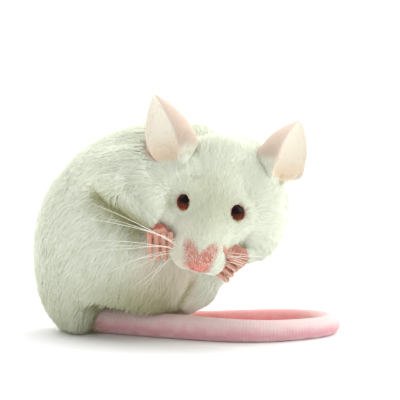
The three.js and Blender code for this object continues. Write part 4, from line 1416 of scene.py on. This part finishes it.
roots, ends = [], []
for side, reach in WHISKER_REACH.items():
    for number, (angle, length) in enumerate(WHISKER_FAN):
        row, column = number / (len(WHISKER_FAN) - 1), number % 3
        roots.append(on_head(9.6 - 0.9 * column, side * (4.6 + 0.25 * column), -1.5 - 3.9 * row))
        on_side = HEAD @ in_view(angle) * np.array([1, -side, 1])
        ends.append(roots[-1] + unit(on_side @ HEAD) * length * reach)
for forward, left, angle, length in BROW_HAIRS:
    roots.append(on_head(forward, left, 1.6))
    ends.append(roots[-1] + length * unit(in_view(angle)))
roots, ends = np.array(roots), np.array(ends)
thick = np.array([0.08] * 2 * len(WHISKER_FAN) + [0.05] * len(BROW_HAIRS))
bow = np.cross(unit(ends - roots), [0, -1.0, 0.0]) * rng.normal(0, 0.35, len(roots))[:, None]
whiskers = hairs("whiskers", roots, ends, bow + UP * 0.25, thick)
print("whiskers:", len(roots))

# %% [markdown]
# Colours are worked out by shader groups. A `Tones` writes one group as sums: each method adds a
# node and gives back what the node puts out, a number or a colour.


# %% Sums in a shader group
class Tones:
    """A shader group or a material's tree, and methods that each add one node to it."""

    def __init__(self, tree):
        self.tree = tree

    def node(self, kind, pairs):
        """A node whose inputs are given in pairs of a socket and a number, a colour or a link."""
        node = self.tree.nodes.new(kind)
        for socket, value in pairs:
            self.put(node.inputs[socket], value)
        return node

    def put(self, socket, value):
        """Fills one socket with a number, a colour, or what another node puts out."""
        if isinstance(value, bpy.types.NodeSocket):
            self.tree.links.new(value, socket)
        else:
            socket.default_value = (*value, 1) if socket.type == "RGBA" else value

    def mask(self, name, strength=1):
        """The named mask as a number, times a strength."""
        node = self.tree.nodes.new("ShaderNodeAttribute")
        node.attribute_name = name
        mask = node.outputs["Fac"]
        return mask if strength == 1 else self.math("MULTIPLY", mask, strength)

    def math(self, operation, *values):
        """One step of arithmetic."""
        node = self.node("ShaderNodeMath", enumerate(values))
        node.operation = operation
        return node.outputs[0]

    def ranged(self, value, low, high, to_low=0.0, to_high=1.0):
        """A number moved from one range to another, held at its ends."""
        pairs = enumerate((value, low, high, to_low, to_high))
        return self.node("ShaderNodeMapRange", pairs).outputs[0]

    def blended(self, share, first, second):
        """A colour between two."""
        node = self.tree.nodes.new("ShaderNodeMix")
        node.data_type = "RGBA"
        for socket, value in ((0, share), (6, first), (7, second)):
            self.put(node.inputs[socket], value)
        return node.outputs[2]

    def noise(self, scale, detail=3.0):
        """Noise over the object's own coordinates, at so many cells a metre."""
        place = self.tree.nodes.new("ShaderNodeTexCoord").outputs["Object"]
        pairs = (("Vector", place), ("Scale", scale), ("Detail", detail))
        return self.node("ShaderNodeTexNoise", pairs).outputs["Fac"]

    def shaded(self, color):
        """A coat colour turned warm on the belly, where skin shows through and painted shade falls, and
        olive as painted shade in the hollows and low parts.
        """
        color = self.blended(self.mask("belly", 0.55), color, BELLY_WARM)
        return self.blended(self.mask("shade", 0.76), color, PAINTED_SHADE_OLIVE)


def new_group(name, *outputs):
    """A shader group with named outputs, each (name, kind); returns it, its sums and its end."""
    group = bpy.data.node_groups.new(name, "ShaderNodeTree")
    for socket_name, kind in outputs:
        group.interface.new_socket(socket_name, in_out="OUTPUT", socket_type=f"NodeSocket{kind}")
    return group, Tones(group), group.nodes.new("NodeGroupOutput")


print("ways to add a node:", [name for name in vars(Tones) if not name.startswith("_")])

# %% [markdown]
# The skin's colour is built from the masks: pink leather on the nose, lips, lids and paws, cream
# inside the ears, and a rosy tail with darker rings and painted light on its pale top and far loop.
# Creases, the right palm and the hollows take painted shade. Its second output is the height of its
# fine relief, and its third a painted glow that stands in for the light that comes through the ears.

# %% Tones of the skin
# the skin under the coat is yellow-olive as painted shade between the tufts, darker in random patches
UNDERCOAT_SHADED, UNDERCOAT_SHADED_DARK = (0.80, 0.79, 0.66), (0.68, 0.65, 0.48)
# the belly's warm tint is partly skin showing through and partly painted shade; the olive is painted
# shade
BELLY_WARM, PAINTED_SHADE_OLIVE = (0.86, 0.72, 0.58), (0.34, 0.33, 0.09)
LEATHER, LEATHER_DEEP_SHADE = (0.72, 0.26, 0.20), (0.46, 0.09, 0.07)
PAW, PAW_DEEP_SHADE = (0.63, 0.33, 0.24), (0.36, 0.09, 0.06)
EAR_IN, EAR_IN_DEEP, EAR_OUT = (0.96, 0.94, 0.86), (0.92, 0.75, 0.58), (0.74, 0.60, 0.50)
# the pale tone is painted light on the tail's top, also laid on its underside; the far loop's brighter,
# redder tones stand in for light coming through it
TAIL_PALE_LIT, TAIL_LOW, TAIL_RING = (0.86, 0.67, 0.66), (0.74, 0.38, 0.42), (0.66, 0.36, 0.38)
TAIL_FAR_LIT_TOP, TAIL_FAR_LIT_LOW = (0.90, 0.40, 0.40), (0.88, 0.25, 0.26)
RING_PITCH = 0.6  # millimetres from one of the tail's rings to the next


def tail_tone(t, cloud):
    """Colour of the tail, rosy below and pale above as painted light, the same pale tone along its
    underside, and a brighter, redder far loop standing in for light coming through; and the height of
    its rings.
    """
    height = t.math("ADD", t.mask("tail_height"), t.math("MULTIPLY", cloud, 0.3))
    far = t.ranged(t.mask("tail_along"), 58, 68)
    low, top = t.blended(far, TAIL_LOW, TAIL_FAR_LIT_LOW), t.blended(far, TAIL_PALE_LIT, TAIL_FAR_LIT_TOP)
    color = t.blended(t.ranged(height, 0.7, -0.1), top, low)
    color = t.blended(t.ranged(height, -0.3, -0.8), color, TAIL_PALE_LIT)
    wobble = t.math("MULTIPLY", t.noise(700, 2), 2.4)
    turns = t.math("ADD", t.mask("tail_along", 2 * math.pi / RING_PITCH), wobble)
    rings = t.ranged(t.math("SINE", turns), -1, 1)
    return t.blended(t.ranged(rings, 0.0, 1.0, 0.0, 0.14), color, TAIL_RING), rings


def skin_tone():
    """Colour, relief and painted glow of bare and furred skin, from the masks on the skin, with painted
    shade in creases and hollows.
    """
    group, t, end = new_group("skin_tone", ("Color", "Color"), ("Relief", "Float"), ("Glow", "Color"))
    cloud, crease = t.ranged(t.noise(420), 0.35, 0.65), t.mask("crease")
    # the nose's creases go a deeper red as painted shade, with a random patchiness
    leather = t.blended(t.ranged(t.math("ADD", crease, cloud), 0.4, 1.5), LEATHER, LEATHER_DEEP_SHADE)
    # the paws' creases and palms go a deeper red: painted shade, with the palms' own deeper tone
    paw = t.blended(t.math("MAXIMUM", t.ranged(crease, 0.05, 0.6), t.mask("grip")), PAW, PAW_DEEP_SHADE)
    inside = t.blended(t.ranged(t.mask("ear_share"), 0.5, 0.05), EAR_IN, EAR_IN_DEEP)
    veins = t.math("ABSOLUTE", t.math("SUBTRACT", t.noise(260, 4), 0.5))
    inside = t.blended(t.ranged(veins, 0.02, 0.0, 0.0, 0.35), inside, EAR_OUT)
    tail, rings = tail_tone(t, cloud)
    color = t.shaded(t.blended(cloud, UNDERCOAT_SHADED, UNDERCOAT_SHADED_DARK))
    for name, strength, over in (
        ("nose", 1, leather),
        ("lid", 0.75, LEATHER),
        ("lip", 0.6, LEATHER),
        ("paw", 1, paw),
        ("foot", 1, paw),
        ("ear", 1, EAR_OUT),
        ("ear_inside", 1, inside),
        ("tail", 1, tail),
    ):
        color = t.blended(t.mask(name, strength), color, over)
    relief = t.math("MULTIPLY", t.math("MULTIPLY", rings, t.mask("tail")), 0.3)
    t.put(end.inputs["Relief"], t.math("ADD", relief, t.math("MULTIPLY", t.noise(2600, 2), 0.5)))
    # a painted glow inside the ears, standing in for light that comes through them
    t.put(end.inputs["Glow"], t.blended(t.mask("ear_inside"), (0.0, 0.0, 0.0), inside))
    t.put(end.inputs["Color"], color)
    return group


skin_group = skin_tone()
print("nodes in the skin's group:", len(skin_group.nodes))

# %% [markdown]
# A tuft is darker and yellower at its root than at its tip, as painted shade deep in the coat, and
# each tuft is a little lighter or darker than the next. On the nose the darker tufts turn pink, where
# the skin shows through.

# %% Tones of the coat
# the roots are painted darker and yellower as shade deep in the coat
TUFT_ROOTS_SHADED = (0.72, 0.73, 0.52), (0.82, 0.82, 0.64)
TUFT_ENDS = (0.76, 0.82, 0.64), (0.95, 0.98, 0.87)
TUFT_FLAP, TUFT_NOSE = (0.82, 0.66, 0.55), (0.68, 0.22, 0.16)


def coat_tone():
    """Colour of a tuft: from its root's painted shade to its tip's colour, each tuft a little lighter
    or darker.
    """
    group, t, end = new_group("coat_tone", ("Color", "Color"))
    tone, nose = t.mask("tone"), t.mask("nose")
    root, tip = t.blended(tone, *TUFT_ROOTS_SHADED), t.blended(t.ranged(tone, 0.0, 0.7), *TUFT_ENDS)
    color = t.blended(t.ranged(t.mask("tip"), 0.0, 0.6), root, tip)
    color = t.blended(t.mask("flap", 0.8), color, TUFT_FLAP)
    pink = t.math("SUBTRACT", t.math("MULTIPLY", nose, 0.7), tone)
    pink = t.math("MULTIPLY", t.ranged(pink, -0.1, 0.35, 0.18, 1.0), t.ranged(nose, 0.1, 0.6))
    t.put(end.inputs["Color"], t.shaded(t.blended(pink, color, TUFT_NOSE)))
    return group


coat_group = coat_tone()
print("nodes in the coat's group:", len(coat_group.nodes))

# %% [markdown]
# Each material is one Principled shader. The eye's colour depends on the height in the ball, as
# painted light and shade: it is dark above, ruby in the middle, and warm below, where light gathers.

# %% Materials
EYE_SHADED_TOP, EYE_RUBY, EYE_LIT_LOW = (0.008, 0.002, 0.003), (0.27, 0.05, 0.01), (0.62, 0.22, 0.05)


def toned_material(name, color, roughness, specular, group):
    """A material whose shader takes its colour from a group, and the group's node at the end."""
    material, nodes, links, shader = plain_material(name, color, roughness, specular)
    tones = nodes.new("ShaderNodeGroup")
    tones.node_tree = group
    links.new(tones.outputs["Color"], shader.inputs["Base Color"])
    return material, nodes, links, shader, tones


skin_parts = toned_material("mouse_skin", (0.8, 0.6, 0.5), 0.55, 0.35, skin_group)
skin_material, nodes, links, shader, tones = skin_parts
relief = nodes.new("ShaderNodeBump")
relief.inputs["Strength"].default_value, relief.inputs["Distance"].default_value = 0.35, 0.0002
links.new(tones.outputs["Relief"], relief.inputs["Height"])
links.new(relief.outputs["Normal"], shader.inputs["Normal"])
# the ears' painted glow is fed to the emission
links.new(tones.outputs["Glow"], shader.inputs["Emission Color"])
shader.inputs["Emission Strength"].default_value = 0.07

coat_material, *_ = toned_material("white_coat", (0.9, 0.92, 0.88), 0.7, 0.25, coat_group)
whisker_material, *_ = plain_material("whisker", (0.97, 0.95, 0.86), 0.4)
claw_material, *_ = plain_material("claw", (0.80, 0.62, 0.52), 0.35)

eye_material, _, links, shader = plain_material("ruby_eye", (0.1, 0.01, 0.01), 0.12, 0.12)
t = Tones(eye_material.node_tree)
height = t.math("ADD", t.mask("height"), t.ranged(t.noise(900), 0.3, 0.7, -0.12, 0.12))
color = t.blended(t.ranged(height, 0.35, -0.75), EYE_SHADED_TOP, EYE_RUBY)
color = t.blended(t.ranged(height, -0.35, -0.85), color, EYE_LIT_LOW)
links.new(color, shader.inputs["Base Color"])
print("materials:", [material.name for material in bpy.data.materials])

# %% [markdown]
# Last, each piece is given its material, rides on the one fixed body, and takes the place of
# the solids it was made from.

# %% Hand the pieces over
dressed = [(skin, skin_material, "bare_skin"), (claws, claw_material, "bare_skin")]
dressed += [(whiskers, whisker_material, "coat")]
dressed += [(piece, coat_material, "coat") for piece in coat_pieces]
dressed += [(eye, eye_material, "eye") for eye in eye_pieces.values()]
for piece, material, slot in dressed:
    piece.data.materials.clear()
    piece.data.materials.append(material)
    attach(piece, "root")
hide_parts(*(name for name in frame["nodes"] if not name.startswith("eye")))
for side_name, eye in eye_pieces.items():
    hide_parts(f"eye_{side_name}")
new_low, new_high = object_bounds()
sizes = [[float(v) for v in corner] for corner in (cad_low, cad_high, new_low, new_high)]
print("box in mm:", np.round((np.array(new_high) - np.array(new_low)) / MM, 1))
